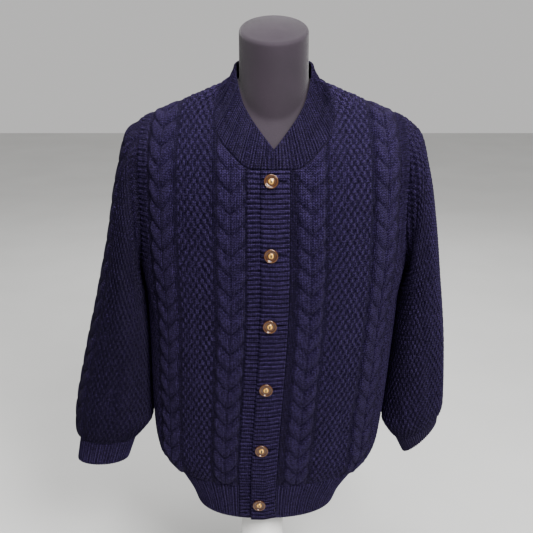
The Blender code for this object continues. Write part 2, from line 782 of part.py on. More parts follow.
def neckband_half(side):
    """Seam, inner edge and bow of the neckband along one half, by length of seam."""
    points, arcs, length = seam_half(side)
    knots = []
    values = []
    for face, distance, x, y, z, bow in NECKBAND:
        if side < 0 and distance < 0:
            continue
        place = distance if face == "front" else 2 * SHOULDER_ARC + 1 - distance
        knots.append(float(np.interp(place, arcs, length)))
        values.append((sway(z) + side * x, y, z, bow))
    shoulder = float(np.interp(SHOULDER_ARC + 0.5, arcs, length))
    return points, length, np.array(knots), np.array(values), shoulder


def neckband_line():
    """The whole neckband as one run: left front end, back, right front end."""
    left_seam, left_length, left_knots, left_values, left_shoulder = neckband_half(1)
    right_seam, right_length, right_knots, right_values, right_shoulder = neckband_half(-1)
    total = left_length[-1] + right_length[-1]
    length = np.concatenate([left_length, total - right_length[-2::-1]])
    seam = np.concatenate([left_seam, right_seam[-2::-1]])
    knots = np.concatenate([left_knots, total - right_knots[-2::-1]])
    values = np.concatenate([left_values, right_values[-2::-1]])
    shoulders = (left_shoulder, total - right_shoulder)
    return length, seam, knots, values, shoulders


def seam_at(along, line, first=0):
    """Point of the neckline seam, or with first=3 the panels' normal there."""
    length, seam = line[:2]
    return np.stack([np.interp(along, length, seam[:, first + axis]) for axis in range(3)], axis=-1)


def neckband_point(along, rise, line):
    """Outer ground of the neckband: rise runs from 0 at the seam to 1 at the free edge."""
    low = seam_at(along, line)
    read = curve_at(line[2], line[3], along)
    high = read[..., :3]
    reach = unit(high - low)
    low = low + reach * NECK_GAP
    out = unit(np.cross(seam_at(along + 6, line) - seam_at(along - 6, line), reach))
    share = rise[..., None]
    bow = read[..., 3:4] * 4 * share * (1 - share)
    return low + (high - low) * share + out * bow


def make_neckband(paint):
    line = neckband_line()
    total = line[0][-1]
    stops = (0.0,) + line[4] + (total,)
    places = [0.0]
    for low, high, ribs in zip(stops, stops[1:], NECK_RIBS):
        places += list(np.linspace(low, high, 2 * ribs + 1)[1:])
    rises = np.linspace(0.0, 1.0, NECKBAND_ROWS)
    outer = []
    inner = []

    def at(first, second):
        return neckband_point(np.clip(first, 0, total), second, line)

    for number, place in enumerate(places):
        along = np.full(rises.shape, place)
        ground = at(along, rises)
        normal = outward(at, along, rises, (3.0, 0.05), (0.0, 1.0), NECK_MIDDLE)
        normal[0] = unit(seam_at(along[0], line, 3))
        x = ground[:, 0] - sway(ground[:, 2])
        left_half = along < total / 2
        front = ground[:, 1] < -30
        lift = np.where(left_half & front, band_lift(x), 0.0)
        height = lift + (RIB_HEIGHT if number % 2 else 0.0)
        outer.append(Column(along[0], rises * 50, ground + normal * np.reshape(height, (-1, 1))))
        if number % 4 == 0 or min(abs(place - stop) for stop in line[4]) < 14.0:
            inner.append(Column(along[0], rises * 50, ground + normal * (lift - WALL)[:, None]))
    wall_solid("neckband", outer, inner, paint)


# ---------------------------------------------------------------- sleeves

def sleeve_turns(side):
    """Angles of a sleeve's columns: from the outer line, over the front, and round."""
    centre = SLEEVE_CABLE_TURN[side]
    half = SLEEVE_CABLE_DEGREES
    turns = []
    for number, offset in enumerate(CABLE_OFFSETS):
        turns.append(((centre + half * offset / (CABLE_WIDTH / 2)) % 360.0, number))
    stops = sorted({0.0, 180.0, (centre - half) % 360.0, (centre + half) % 360.0})
    for low, high in zip(stops, stops[1:] + [360.0]):
        if low == (centre - half) % 360.0:
            continue
        steps = math.ceil((high - low) / SLEEVE_STEP)
        turns += [(low + (high - low) * step / steps, None) for step in range(steps)]
    with_cable = {turn for turn, number in turns if number is not None}
    plain = {turn for turn, number in turns} - with_cable
    return sorted([pair for pair in turns if pair[1] is not None] + [(turn, None) for turn in plain])


def armhole_height(turn):
    middle = (ARMHOLE_LOW + ARMHOLE_TOP) / 2
    return middle + (ARMHOLE_TOP - ARMHOLE_LOW) / 2 * np.cos(np.radians(turn))


def armhole_heights(side, face):
    """Heights at which the sleeve's columns meet a panel's side edge, low to high."""
    heights = {round(ARMHOLE_LOW, 3)}
    for turn, _ in sleeve_turns(side):
        on_front = turn < 180.0
        if on_front == (face == "front"):
            heights.add(round(float(armhole_height(turn)), 3))
    return sorted(height for height in heights if height < ARMHOLE_TOP - 0.4)


def armhole_loop(side, turns):
    """The armhole's edge at a sleeve's angles, moved out by the seam's gap."""
    heights = np.minimum(armhole_height(turns), float(shoulder_height(GIRTH_QUARTER)))
    arcs = np.full(heights.shape, side * GIRTH_QUARTER)
    front = torso_point(arcs, heights, "front")
    back = torso_point(arcs, heights, "back")
    on_front = (turns % 360.0 < 180.0)[:, None]
    return np.where(on_front, front, back) + np.array([side * SEAM_GAP, 0, 0])


def sleeve_stations(side, turns):
    """Loops of points from the cuff's seam up to the armhole, at the given angles."""
    loops = []
    angle = np.radians(turns)
    for outer_x, outer_z, inner_x, inner_z, middle_y, half_depth in SLEEVES[side][::-1]:
        middle_x = (outer_x + inner_x) / 2
        middle_z = (outer_z + inner_z) / 2
        x = middle_x + (outer_x - inner_x) / 2 * np.cos(angle)
        z = middle_z + (outer_z - inner_z) / 2 * np.cos(angle)
        back = SLEEVE_SET_BACK * smooth_step(inner_z, 665.0, 590.0) * smooth_step(inner_z, 380.0, 430.0)
        y = middle_y - half_depth * np.sin(angle) + back * (1 - np.cos(angle)) / 2
        loops.append(np.stack([NECK_X + side * x, y, z], axis=-1))
    loops.append(armhole_loop(side, turns))
    return np.array(loops)


def cuff_loop(side, turns):
    outer_x, outer_z, inner_x, inner_z, middle_y, half_depth = CUFF_ENDS[side]
    angle = np.radians(turns)
    x = (outer_x + inner_x) / 2 + (outer_x - inner_x) / 2 * np.cos(angle)
    z = (outer_z + inner_z) / 2 + (outer_z - inner_z) / 2 * np.cos(angle)
    y = middle_y - half_depth * np.sin(angle)
    return np.stack([NECK_X + side * x, y, z], axis=-1)


def paired_curve(knots, loops, turns_at, parts):
    """Smooth curve through stations of points, each point read at a part of its own."""
    slope = slopes_of(knots, loops)
    parts = np.clip(parts, knots[0], knots[-1])
    index = np.clip(np.searchsorted(knots, parts, side="right") - 1, 0, len(knots) - 2)
    step = (knots[index + 1] - knots[index])[:, None]
    part = (parts - knots[index])[:, None] / step
    square = part * part
    cube = square * part
    low = loops[index, turns_at]
    high = loops[index + 1, turns_at]
    return ((2 * cube - 3 * square + 1) * low + (cube - 2 * square + part) * step * slope[index, turns_at]
            + (3 * square - 2 * cube) * high + (cube - square) * step * slope[index + 1, turns_at])


def station_knots(side):
    loops = sleeve_stations(side, np.arange(0.0, 360.0, 15.0))
    steps = np.linalg.norm(np.diff(loops, axis=0), axis=-1).mean(axis=1)
    return np.concatenate([[0.0], np.cumsum(steps)]) / steps.sum()


def sleeve_point(side, turns, parts, knots):
    loops = sleeve_stations(side, turns)
    return paired_curve(knots, loops, np.arange(len(turns)), parts)


def cuff_point(side, turns, parts):
    """Point of a cuff: part runs from 0 at its open end to 1 at the sleeve's seam."""
    low = cuff_loop(side, turns)
    high = sleeve_stations(side, turns)[0]
    share = np.reshape(parts, (-1, 1))
    return low + (high - low) * share


def cuff_seam_up(side):
    """Direction square to the plane of the seam between a sleeve and its cuff."""
    outer_x, outer_z, inner_x, inner_z = SLEEVES[side][-1][:4]
    return unit(np.array([side * (inner_z - outer_z), 0.0, outer_x - inner_x]))


def along_seam(normal, side):
    """The same directions, laid into the plane of the cuff's seam."""
    up = cuff_seam_up(side)
    return unit(normal - np.reshape(normal @ up, (-1, 1)) * up)


def sleeve_rows(length):
    low = [0.0, 12.0, 32.0]
    high = [length - away for away in (100.0, 60.0, 32.0, 12.0, 0.0)]
    count = max(2, int((high[0] - low[-1]) / 56.0))
    return low + list(np.linspace(low[-1], high[0], count + 1)[1:-1]) + high


def make_sleeve(name, side, paint):
    knots = station_knots(side)
    fine = np.linspace(0.0, 1.0, 161)
    outer = []
    inner = []

    def at(first, second):
        return sleeve_point(side, first, second, knots)

    for turn, number in sleeve_turns(side):
        path = at(np.full(fine.shape, turn), fine)
        along = np.concatenate([[0.0], np.cumsum(np.linalg.norm(np.diff(path, axis=0), axis=1))])
        length = along[-1]
        offset = CABLE_OFFSETS[number] if number is not None else 0.0
        plain = sleeve_rows(length)
        rows = cable_rows(offset, length) if number is not None else plain
        edge = number in (0, len(CABLE_OFFSETS) - 1)
        relief = []
        for value in rows:
            height = cable_relief(offset, value) if number is not None else MOSS_HEIGHT
            relief.append(0.0 if edge or value < 2 or value > length - 2 else height)
        ground, normal = sleeve_wall(at, turn, rows, along, fine, side)
        points = ground + normal * np.reshape(relief, (-1, 1))
        outer.append(Column(turn, rows, points, 0 if number is not None else None, offset))
        if number is None or number % 2 == 0:
            ground, normal = sleeve_wall(at, turn, plain, along, fine, side)
            inner.append(Column(turn, plain, ground - normal * WALL))
    wall_solid(name, outer, inner, paint, 360.0)


def sleeve_wall(at, turn, rows, along, fine, side):
    parts = np.interp(rows, along, fine)
    turns = np.full(parts.shape, turn)
    ground = at(turns, parts)
    centre = at((turns + 180.0) % 360.0, parts)
    normal = outward(at, turns, parts, (2.0, 0.008), (0.0, 1.0), (ground + centre) / 2)
    normal[0] = along_seam(normal[:1], side)[0]
    normal[-1, 0] = 0.0
    if turn == 0.0:
        normal[-1] = (0.0, 0.0, 1.0)
    return ground, unit(normal)


def make_cuff(name, side, paint):
    outer = []
    inner = []
    parts = np.array([0.0, 1.0])

    def at(first, second):
        return cuff_point(side, first, second)

    for number in range(2 * CUFF_RIBS):
        turns = np.full(parts.shape, 360.0 * number / (2 * CUFF_RIBS))
        ground = at(turns, parts)
        ground[-1] -= SEAM_GAP * cuff_seam_up(side)
        centre = (ground + at(turns + 180.0, parts)) / 2
        normal = along_seam(outward(at, turns, parts, (2.0, 0.2), (0.0, 1.0), centre), side)
        height = RIB_HEIGHT if number % 2 else 0.0
        outer.append(Column(turns[0], parts, ground + normal * height))
        if number % 4 == 0:
            inner.append(Column(turns[0], parts, ground - normal * WALL))
    wall_solid(name, outer, inner, paint, 360.0)


# ---------------------------------------------------------------- buttons

def turned_solid(name, profile, sides, paint, location=(0, 0, 0), rotation=(0, 0, 0)):
    """Solid turned about Z from a profile that starts and ends on the axis."""
    points = [(0.0, 0.0, profile[0][1])]
    for radius, height in profile[1:-1]:
        for step in range(sides):
            turn = 2 * math.pi * step / sides
            points.append((radius * math.cos(turn), radius * math.sin(turn), height))
    points.append((0.0, 0.0, profile[-1][1]))
    last = len(points) - 1
    rings = len(profile) - 2
    faces = []
    for step in range(sides):
        after = (step + 1) % sides
        faces.append((0, 1 + after, 1 + step))
        top = 1 + (rings - 1) * sides
        faces.append((last, top + step, top + after))
        for ring in range(rings - 1):
            low = 1 + ring * sides
            high = low + sides
            faces.append((low + step, low + after, high + after))
            faces.append((low + step, high + after, high + step))
    return add_solid(name, points, faces, paint, location, rotation)


def make_buttons(paint):
    for number, height in enumerate(BUTTON_HEIGHTS, start=1):
        arcs = np.array([BUTTON_X, BUTTON_X])
        heights = np.array([height - 9.0, height + 9.0])
        low, high = torso_point(arcs, heights, "front")
        beside = torso_point(arcs + 6.0, heights, "front")[0]
        out = unit(np.cross(beside - low, high - low))
        seat = (low + high) / 2 + out * (BAND_LIFT + RIB_HEIGHT + SEAM_GAP)
        pitch = math.atan2(math.hypot(out[0], out[1]), out[2])
        heading = math.atan2(out[1], out[0])
        turned_solid(f"button_{number}", BUTTON_PROFILE, BUTTON_SIDES, paint,
                     tuple(seat), (0.0, pitch, heading))


# ---------------------------------------------------------------- dress form and stand

FORM_LEVELS = (396, 430, 500, 580, 650, 720, 770, 810, 840, 862, 882, 900, 916, 930, 941,
               952, 963, 974, 985, 996, 1006)
NECK_LEVELS = (1040,)
BLEND_POWER = 40.0


def form_ridge(across):
    droop = 32.0 * (across / 204.0) ** 10
    return ridge_height(across) - FORM_CLEARANCE * 1.08 - droop


def form_ring(height):
    """Points of the form's level section: torso and neck in one smooth outline."""
    half, front, back = curve_at(FORM[:, 0], FORM[:, 1:], height)
    radius = float(curve_at(FORM_NECK[:, 0], FORM_NECK[:, 1:], height)[0])
    across = half * np.sin(np.linspace(0, math.pi / 2, 181)) ** (2 / SECTION_POWER)
    below = form_ridge(across) - height
    across = across[below > 0]
    turns = np.radians(np.arange(0, 360, 360 / FORM_SIDES))
    torso = np.full(turns.shape, 1.0)
    if len(across) > 2:
        if len(across) < 181:
            end = np.interp(0.0, -below[:len(across) + 1], np.append(across, across[-1] + 1.0))
            across = np.append(across, end)
        down = np.clip(form_ridge(across) - height, 0, None)
        shape = np.clip(1 - (across / half) ** SECTION_POWER, 0, 1) ** (1 / SECTION_POWER)
        rounding = SHOULDER_ROUND * np.sqrt(1 - (across / 245.0) ** 2) - FORM_CLEARANCE
        full = np.sqrt(1 - (1 - np.clip(down / rounding, 0, 1)) ** 2)
        outline_front = RIDGE_Y + (front - RIDGE_Y) * shape * full
        outline_back = RIDGE_Y + (back - RIDGE_Y) * shape * full
        for index, turn in enumerate(turns):
            x, y = abs(math.sin(turn)), -math.cos(turn)
            outline = outline_front if y <= 0 else outline_back
            angles = np.arctan2(across, np.abs(outline))
            reach = np.hypot(across, outline)
            torso[index] = np.interp(math.atan2(x, abs(y)), angles, reach)
    reach = (torso ** BLEND_POWER + radius ** BLEND_POWER) ** (1 / BLEND_POWER)
    offset = float(sway(np.array(height)))
    return [(offset + r * math.sin(t), -r * math.cos(t), float(height)) for r, t in zip(reach, turns)]


def neck_ring(height, radius):
    """A level of the neck; towards the top the rings tilt with the top face."""
    tilt = math.tan(math.radians(NECK_TILT)) * smooth_step(height, 1006.0, NECK_TOP)
    points = []
    for step in range(FORM_SIDES):
        turn = 2 * math.pi * step / FORM_SIDES
        y = -radius * math.cos(turn)
        points.append((NECK_X + radius * math.sin(turn), y, height + tilt * y))
    return points


def make_form(paint):
    rings = [form_ring(level) for level in FORM_LEVELS]
    radius = float(FORM_NECK[-1, 1])
    rings += [neck_ring(level, radius) for level in NECK_LEVELS]
    rings.append(neck_ring(NECK_TOP - 3.0, radius))
    rings.append(neck_ring(NECK_TOP, radius - 3.0))
    rings.append(neck_ring(NECK_TOP + NECK_DOME * 0.7, radius * 0.55))
    points = [point for ring in rings for point in ring]
    bottom = len(points)
    points.append((float(sway(np.array(FORM_LOW))), 0.0, FORM_LOW))
    points.append((NECK_X, 0.0, NECK_TOP + NECK_DOME))
    faces = []
    for step in range(FORM_SIDES):
        after = (step + 1) % FORM_SIDES
        faces.append((bottom, after, step))
        top = (len(rings) - 1) * FORM_SIDES
        faces.append((bottom + 1, top + step, top + after))
        for ring in range(len(rings) - 1):
            low = ring * FORM_SIDES
            high = low + FORM_SIDES
            faces.append((low + step, low + after, high + after))
            faces.append((low + step, high + after, high + step))
    add_solid("dress_form", points, faces, paint)


def make_stand(paint):
    top = FORM_LOW - SEAM_GAP
    low = BASE_HEIGHT + SEAM_GAP
    post = ((0.0, low), (POST_RADIUS, low), (POST_RADIUS, top), (0.0, top))
    turned_solid("stand_post", post, ROUND_SIDES, paint)
    base = ((0.0, 0.0), (BASE_RADIUS, 0.0), (BASE_RADIUS, BASE_HEIGHT - BASE_BEVEL),
            (BASE_RADIUS - BASE_BEVEL, BASE_HEIGHT), (0.0, BASE_HEIGHT))
    turned_solid("stand_base", base, ROUND_SIDES, paint)


def main():
    for old in list(bpy.data.objects):
        bpy.data.objects.remove(old, do_unlink=True)
    knit = material("navy_knit", NAVY, 0.9)
    make_panels(knit)
    make_hem(knit)
    make_bands(knit)
    make_neckband(knit)
    make_sleeve("sleeve_left", 1, knit)
    make_sleeve("sleeve_right", -1, knit)
    make_cuff("cuff_left", 1, knit)
    make_cuff("cuff_right", -1, knit)
    make_buttons(material("amber_button", AMBER, 0.3, 0.4))
    make_form(material("form_jersey", CHARCOAL, 0.85))
    make_stand(material("stand_white", WHITE, 0.5))


main()
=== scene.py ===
"""Looks of a cable-knit button cardigan on a limbless dress form.

Sizes are in millimetres until a mesh is made. +Z is up, the front faces -Y, and left and
right are the wearer's. Every knitted piece is a thin shell: an outer grid of points raised
by its stitches and folds, over a plain inside.
"""
import math

import bpy
import numpy as np
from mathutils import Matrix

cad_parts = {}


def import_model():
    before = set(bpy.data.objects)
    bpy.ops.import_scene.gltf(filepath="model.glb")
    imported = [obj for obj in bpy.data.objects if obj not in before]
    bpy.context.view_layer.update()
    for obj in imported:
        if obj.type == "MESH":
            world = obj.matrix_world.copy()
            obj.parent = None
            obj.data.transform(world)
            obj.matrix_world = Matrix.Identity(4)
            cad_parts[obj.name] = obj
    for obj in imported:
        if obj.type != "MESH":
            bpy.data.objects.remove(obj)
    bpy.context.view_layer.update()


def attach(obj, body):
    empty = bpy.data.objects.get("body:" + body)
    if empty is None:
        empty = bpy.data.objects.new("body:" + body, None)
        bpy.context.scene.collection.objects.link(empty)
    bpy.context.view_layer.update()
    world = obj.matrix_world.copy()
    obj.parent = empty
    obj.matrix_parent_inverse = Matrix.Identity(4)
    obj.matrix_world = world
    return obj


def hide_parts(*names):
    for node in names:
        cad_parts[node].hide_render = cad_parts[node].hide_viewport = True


MM = 0.001

# ---- driving sizes ----
SEAM_GAP = 0.3              # between two sewn pieces
LAP_GAP = 0.5               # between layers that lie on each other
NECK_GAP = 0.9              # between the neckline and the neckband, whose walls meet at an angle
WALL = 3.0                  # knit, without its raised stitches
FORM_CLEARANCE = 4.6        # dress form below the knit's outer ground, at the shoulders
HEM_LOW = 237.0             # lowest edge of the hem rib
HEM_TOP = 308.0             # seam between the hem rib and the body
GIRTH_QUARTER = 280.0       # knitted width from a centre line to a side seam
SHOULDER_PEAK = 1019.0      # the two shoulder lines meet here, above the neck
SHOULDER_SLOPE = 0.42
RIDGE_Y = 5.0               # shoulder seam, seen from the side
SHOULDER_ROUND = 130.0      # height over which a shoulder turns into the chest
NECK_X = 20.0               # the form leans: its neck stands this far beside the post
BAND_FREE_EDGE = -19.5      # buttonhole band, from the centre line of the front
BAND_SEAM = 24.4
UNDER_FREE_EDGE = -0.8      # button band
UNDER_SEAM = -42.0
BAND_PITCH = 7.5            # one rib and one furrow
BAND_LIFT = WALL + 1.2 + LAP_GAP + 0.3
RIB_HEIGHT = 1.2
CABLE_WIDTH = 45.0
CABLE_HEIGHT = 5.0
CABLE_PITCH = 33.0
MOSS_HEIGHT = 1.5
INNER_CABLE = {1: 57.5, -1: 67.5}    # centre of the cable beside the front bands, by side
OUTER_CABLE = 179.5
BACK_INNER_CABLE = 62.0

# ---- the torso's level sections, hem to shoulders ----
# height, half width on the right and on the left, y of the front, of the sides and of the back
TORSO = np.array([
    (237, 117, 130, -77, 18, 120),
    (262, 126, 140, -80, 16, 126),
    (290, 141, 158, -85, 14, 133),
    (308, 153, 172, -89, 13, 138),
    (325, 168, 187, -97, 11, 143),
    (345, 182, 197, -102, 9, 146),
    (370, 190, 202, -104, 8, 147),
    (400, 194, 204, -107, 6, 146),
    (450, 198, 206, -113, 4, 143),
    (510, 202, 207, -120, 2, 138),
    (620, 210, 210, -125, 0, 131),
    (690, 220, 220, -126, 0, 130),
    (740, 224, 224, -125, 0, 129),
    (800, 228, 228, -119, 0, 125),
    (846, 232, 232, -110, 0, 119),
    (870, 234, 234, -103, 1, 113),
    (905, 236, 236, -88, 2, 101),
    (940, 236, 236, -72, 3, 86),
    (980, 236, 236, -56, 4, 70),
    (1020, 236, 236, -48, 5, 60),
], float)
SECTION_POWER = 2.35

# the armhole's edge on each panel: height, and knitted distance from the centre line
ARMHOLE_LOW = 690.0
ARMHOLE = np.array([
    (690, 280), (693, 268), (702, 254), (716, 243), (736, 236), (765, 232),
    (805, 229), (850, 227), (890, 225), (940, 223),
], float)

# the front neckline: knitted distance from the centre line, and height
FRONT_NECK = np.array([
    (0, 862), (34, 863), (46, 867), (56, 875), (66, 885), (76, 895), (86, 906),
    (93, 921), (97, 938), (101.5, 955), (106.5, 967), (109.5, 976), (111, 981.6), (112, 990),
], float)
BACK_NECK = np.array([
    (0, 964), (30, 965), (60, 968), (82.5, 971), (97.5, 975), (107, 978.3), (109.5, 979.8), (111, 981.5),
    (112, 990),
], float)
SHOULDER_ARC = 112.0        # knitted distance at which the neckline meets the shoulder
NECK_LEAN = 30.0            # how far the columns lean towards the neck at the top

SLEEVE_SET_BACK = 24.0      # where a sleeve is widest, its underarm line lies this far back

# a sleeve's stations from the armhole down to the cuff, by side: x and z of the outer line,
# x and z of the underarm line, y of the middle and half the depth; x is from the neck's centre
SLEEVES = {
    -1: np.array([
        (237, 903, 224, 672, 0, 64), (248, 860, 221, 650, -2, 72),
        (257, 822, 217, 625, -4, 78), (264, 780, 215.5, 594, -6, 82),
        (272, 735, 214, 562, -8, 84), (284, 681, 214, 530, -10, 82),
        (299, 616, 214, 494, -12, 76), (314, 556, 214, 462, -13, 70),
        (327, 500, 214, 436, -14, 63), (338, 450, 214, 418, -14, 57),
        (344, 410, 216, 402, -14, 51), (345, 384, 228, 386, -13, 44),
        (342, 366, 246, 366, -12, 35),
    ], float),
    1: np.array([
        (239, 903, 224, 672, 0, 64), (250, 862, 219, 650, -2, 72),
        (258, 826, 214, 625, -4, 78), (265, 780, 211, 594, -6, 82),
        (271, 735, 208, 562, -8, 84), (277, 681, 205.5, 530, -10, 83),
        (285, 616, 202.5, 494, -11, 79), (291, 556, 200, 462, -11, 75),
        (294, 505, 197.5, 434, -11, 71), (296, 462, 196, 414, -10, 66),
        (297, 436, 196, 397, -9, 58), (296, 419, 207, 377, -4, 49),
        (293, 408, 221, 359, 2, 40),
    ], float),
}
CUFF_ENDS = {-1: (350, 322, 261, 324, -12, 31), 1: (296, 378, 239, 318, 22, 26)}
SLEEVE_CABLE_TURN = {-1: 20.0, 1: -50.0}    # degrees from the outer line to the front
SLEEVE_CABLE_DEGREES = 20.0                  # half the cable's width round the sleeve

# the neckband's free edge on one half, from the front centre: the panel below and the knitted
# distance along it, then x, y and z of the edge and how far the band bows out
NECKBAND = (
    ("front", -19.5, -19.5, -103.5, 872, 0.0),
    ("front", 0.0, 0.0, -97.0, 893, 1.0),
    ("front", 30.0, 20.0, -80.0, 917, 2.0),
    ("front", 56.0, 36.0, -65.0, 938, 2.0),
    ("front", 80.0, 49.0, -46.0, 960, 0.0),
    ("front", 93.0, 56.5, -26.0, 982, -3.0),
    ("front", 99.0, 60.5, -10.0, 1001, -4.0),
    ("back", SHOULDER_ARC, 62.0, 8.0, 1014, -5.0),
    ("back", 60.0, 48.0, 40.0, 1019, -4.0),
    ("back", 0.0, 0.0, 63.0, 1021, -3.0),
)

# points inside the body and the neck, from which the outside is judged
TORSO_MIDDLE = np.array([NECK_X, RIDGE_Y, 600.0])
NECK_MIDDLE = np.array([NECK_X, RIDGE_Y, 930.0])

# ---- buttons ----
BUTTON_X = -4.6             # from the front's centre line
BUTTON_HEIGHTS = (846, 734, 618, 507, 390, 272)

# ---- dress form and stand ----
# height, half width, y of the front and y of the back
FORM = np.array([
    (396, 150, -92, 96), (430, 157, -96, 104), (520, 160, -92, 104),
    (620, 170, -98, 106), (720, 186, -112, 116), (800, 194, -112, 118),
    (846, 198, -101, 108), (870, 200, -93, 101), (893, 202, -82, 94),
    (917, 203, -68, 85), (940, 204, -56, 73), (980, 204, -43, 59), (1020, 204, -38, 51),
], float)
# height and radius
FORM_NECK = np.array([
    (396, 40), (870, 42), (917, 54), (940, 56), (960, 56), (980, 55.6), (1000, 55.4),
    (1100, 55.4),
], float)
FORM_LOW = 396.0
NECK_TOP = 1069.0           # height of the neck's top face at its middle
NECK_TILT = 20.0            # degrees; the top face looks forward
NECK_DOME = 5.0
FORM_SIDES = 96
BLEND_POWER = 40.0
POST_RADIUS = 38.0
BASE_RADIUS = 150.0
BASE_HEIGHT = 14.0
BASE_BEVEL = 4.0


# ---------------------------------------------------------------- small helpers

def smooth_step(value, low, high):
    part = np.clip((value - low) / (high - low), 0.0, 1.0)
    return part * part * (3.0 - 2.0 * part)


def slopes_of(knots, values):
    """Slopes for a curve through the values that doesn't overshoot them."""
    step = np.diff(knots)
    rise = np.diff(values, axis=0)
    chord = rise / step.reshape((-1,) + (1,) * (values.ndim - 1))
    slope = np.zeros_like(values)
    same_way = chord[:-1] * chord[1:] > 0
    total = chord[:-1] + chord[1:]
    slope[1:-1] = np.where(same_way, 2 * chord[:-1] * chord[1:] / np.where(same_way, total, 1), 0)
    slope[0] = chord[0]
    slope[-1] = chord[-1]
    return slope


def curve_at(knots, values, at):
    """Smooth curve through rows of values at the knots, read at one or many places."""
    knots = np.asarray(knots, float)
    values = np.asarray(values, float)
    slope = slopes_of(knots, values)
    at = np.clip(np.asarray(at, float), knots[0], knots[-1])
    index = np.clip(np.searchsorted(knots, at, side="right") - 1, 0, len(knots) - 2)
    step = knots[index + 1] - knots[index]
    part = (at - knots[index]) / step
    shape = part.shape + (1,) * (values.ndim - 1)
    part = part.reshape(shape)
    step = step.reshape(shape)
    square = part * part
    cube = square * part
    return ((2 * cube - 3 * square + 1) * values[index] + (cube - 2 * square + part) * step * slope[index]
            + (3 * square - 2 * cube) * values[index + 1] + (cube - square) * step * slope[index + 1])


def unit(vectors):
    return vectors / np.maximum(np.linalg.norm(vectors, axis=-1, keepdims=True), 1e-9)


def sway(height):
    """Sideways place of the garment's centre line: the form leans over its post."""
    return NECK_X * smooth_step(height, 250.0, 700.0)


def ridge_height(across):
    return SHOULDER_PEAK - SHOULDER_SLOPE * across


# ---------------------------------------------------------------- torso surface

TABLE_HEIGHTS = np.arange(230.0, 1024.0, 2.0)
TABLE_ARCS = np.linspace(0.0, GIRTH_QUARTER, 181)


def quarter_section(half_width, depth_y, middle_y):
    """A quarter of a level section, from the centre line to the side, with its length."""
    turn = np.linspace(0.0, math.pi / 2, 241)
    across = half_width * np.sin(turn) ** (2 / SECTION_POWER)
    out = middle_y + (depth_y - middle_y) * np.cos(turn) ** (2 / SECTION_POWER)
    length = np.concatenate([[0.0], np.cumsum(np.hypot(np.diff(across), np.diff(out)))])
    return across, out, length


def section_tables():
    """For each side and face: x and y by height and knitted distance, and the girth."""
    tables = {}
    quarters = {}
    rows = curve_at(TORSO[:, 0], TORSO[:, 1:], TABLE_HEIGHTS)
    for side, width_column in ((-1, 0), (1, 1)):
        for face, depth_column in (("front", 2), ("back", 4)):
            across_table = []
            out_table = []
            girth = []
            for row in rows:
                across, out, length = quarter_section(row[width_column], row[depth_column], row[3])
                slack = GIRTH_QUARTER - length[-1]
                reach = TABLE_ARCS - slack * (TABLE_ARCS / GIRTH_QUARTER) ** 2
                across_table.append(np.interp(reach, length, across))
                out_table.append(np.interp(reach, length, out))
                girth.append(length[-1])
            tables[side, face] = (np.array(across_table), np.array(out_table))
            quarters[side, face] = np.array(girth)
    return tables, quarters


SECTIONS, QUARTERS = section_tables()


def read_table(table, height, arc):
    row = np.clip((height - TABLE_HEIGHTS[0]) / 2.0, 0, len(TABLE_HEIGHTS) - 1.001)
    column = np.clip(arc / GIRTH_QUARTER * (len(TABLE_ARCS) - 1), 0, len(TABLE_ARCS) - 1.001)
    low_row = row.astype(int)
    low_column = column.astype(int)
    row_part = row - low_row
    column_part = column - low_column
    low = table[low_row, low_column] * (1 - column_part) + table[low_row, low_column + 1] * column_part
    high = (table[low_row + 1, low_column] * (1 - column_part)
            + table[low_row + 1, low_column + 1] * column_part)
    return low * (1 - row_part) + high * row_part


def panel_arc(arc, height):
    """Knitted distance of a column at a height: columns close up at armhole and neck."""
    cable_edge = OUTER_CABLE + CABLE_WIDTH / 2 + 4
    edge = np.interp(height, ARMHOLE[:, 0], ARMHOLE[:, 1])
    edge = np.where(height <= ARMHOLE_LOW, GIRTH_QUARTER, edge)
    share = np.clip((arc - cable_edge) / (GIRTH_QUARTER - cable_edge), 0, 1)
    drawn = np.where(arc > cable_edge, cable_edge + share * (edge - cable_edge), arc)
    near_neck = np.interp(drawn, (60.0, SHOULDER_ARC, 150.0), (0.0, 1.0, 0.0))
    return drawn - NECK_LEAN * smooth_step(height, 935.0, 1000.0) * near_neck


def torso_point(arc, height, face):
    """Outer ground of the knit. The sign of arc gives the side: + is the wearer's left."""
    arc = np.asarray(arc, float)
    height = np.broadcast_to(np.asarray(height, float), arc.shape)
    drawn = panel_arc(np.abs(arc), height)
    across = np.zeros_like(drawn)
    seam = np.zeros_like(drawn)
    out = np.zeros_like(drawn)
    for side in (-1, 1):
        picked = arc < 0 if side < 0 else arc >= 0
        across_table, out_table = SECTIONS[side, face]
        across[picked] = read_table(across_table, height[picked], drawn[picked])
        seam[picked] = read_table(SECTIONS[side, "front"][0], height[picked], drawn[picked])
        out[picked] = read_table(out_table, height[picked], drawn[picked])
    down = ridge_height(seam) - height
    rounding = SHOULDER_ROUND * np.sqrt(np.clip(1 - (seam / 245.0) ** 2, 0.05, 1))
    part = np.clip(down / rounding, 0, 1)
    full = np.sqrt(np.clip(1 - (1 - part) ** 2, 0, 1))
    across = seam + (across - seam) * full
    seam_side = -1 if face == "front" else 1
    out = RIDGE_Y + (out - RIDGE_Y) * full + seam_side * SEAM_GAP / 2
    return np.stack([sway(height) + np.where(arc < 0, -across, across), out, height], axis=-1)


def shoulder_table():
    """Height at which each column reaches the shoulder line, found by halving steps."""
    height = np.full(TABLE_ARCS.shape, 950.0)
    for _ in range(40):
        point = torso_point(TABLE_ARCS, height, "front")
        height = 0.5 * height + 0.5 * ridge_height(point[..., 0] - sway(height))
    return height


SHOULDERS = shoulder_table()
ARMHOLE_TOP = float(SHOULDERS[-1])


def shoulder_height(arc):
    return np.interp(np.abs(arc), TABLE_ARCS, SHOULDERS)


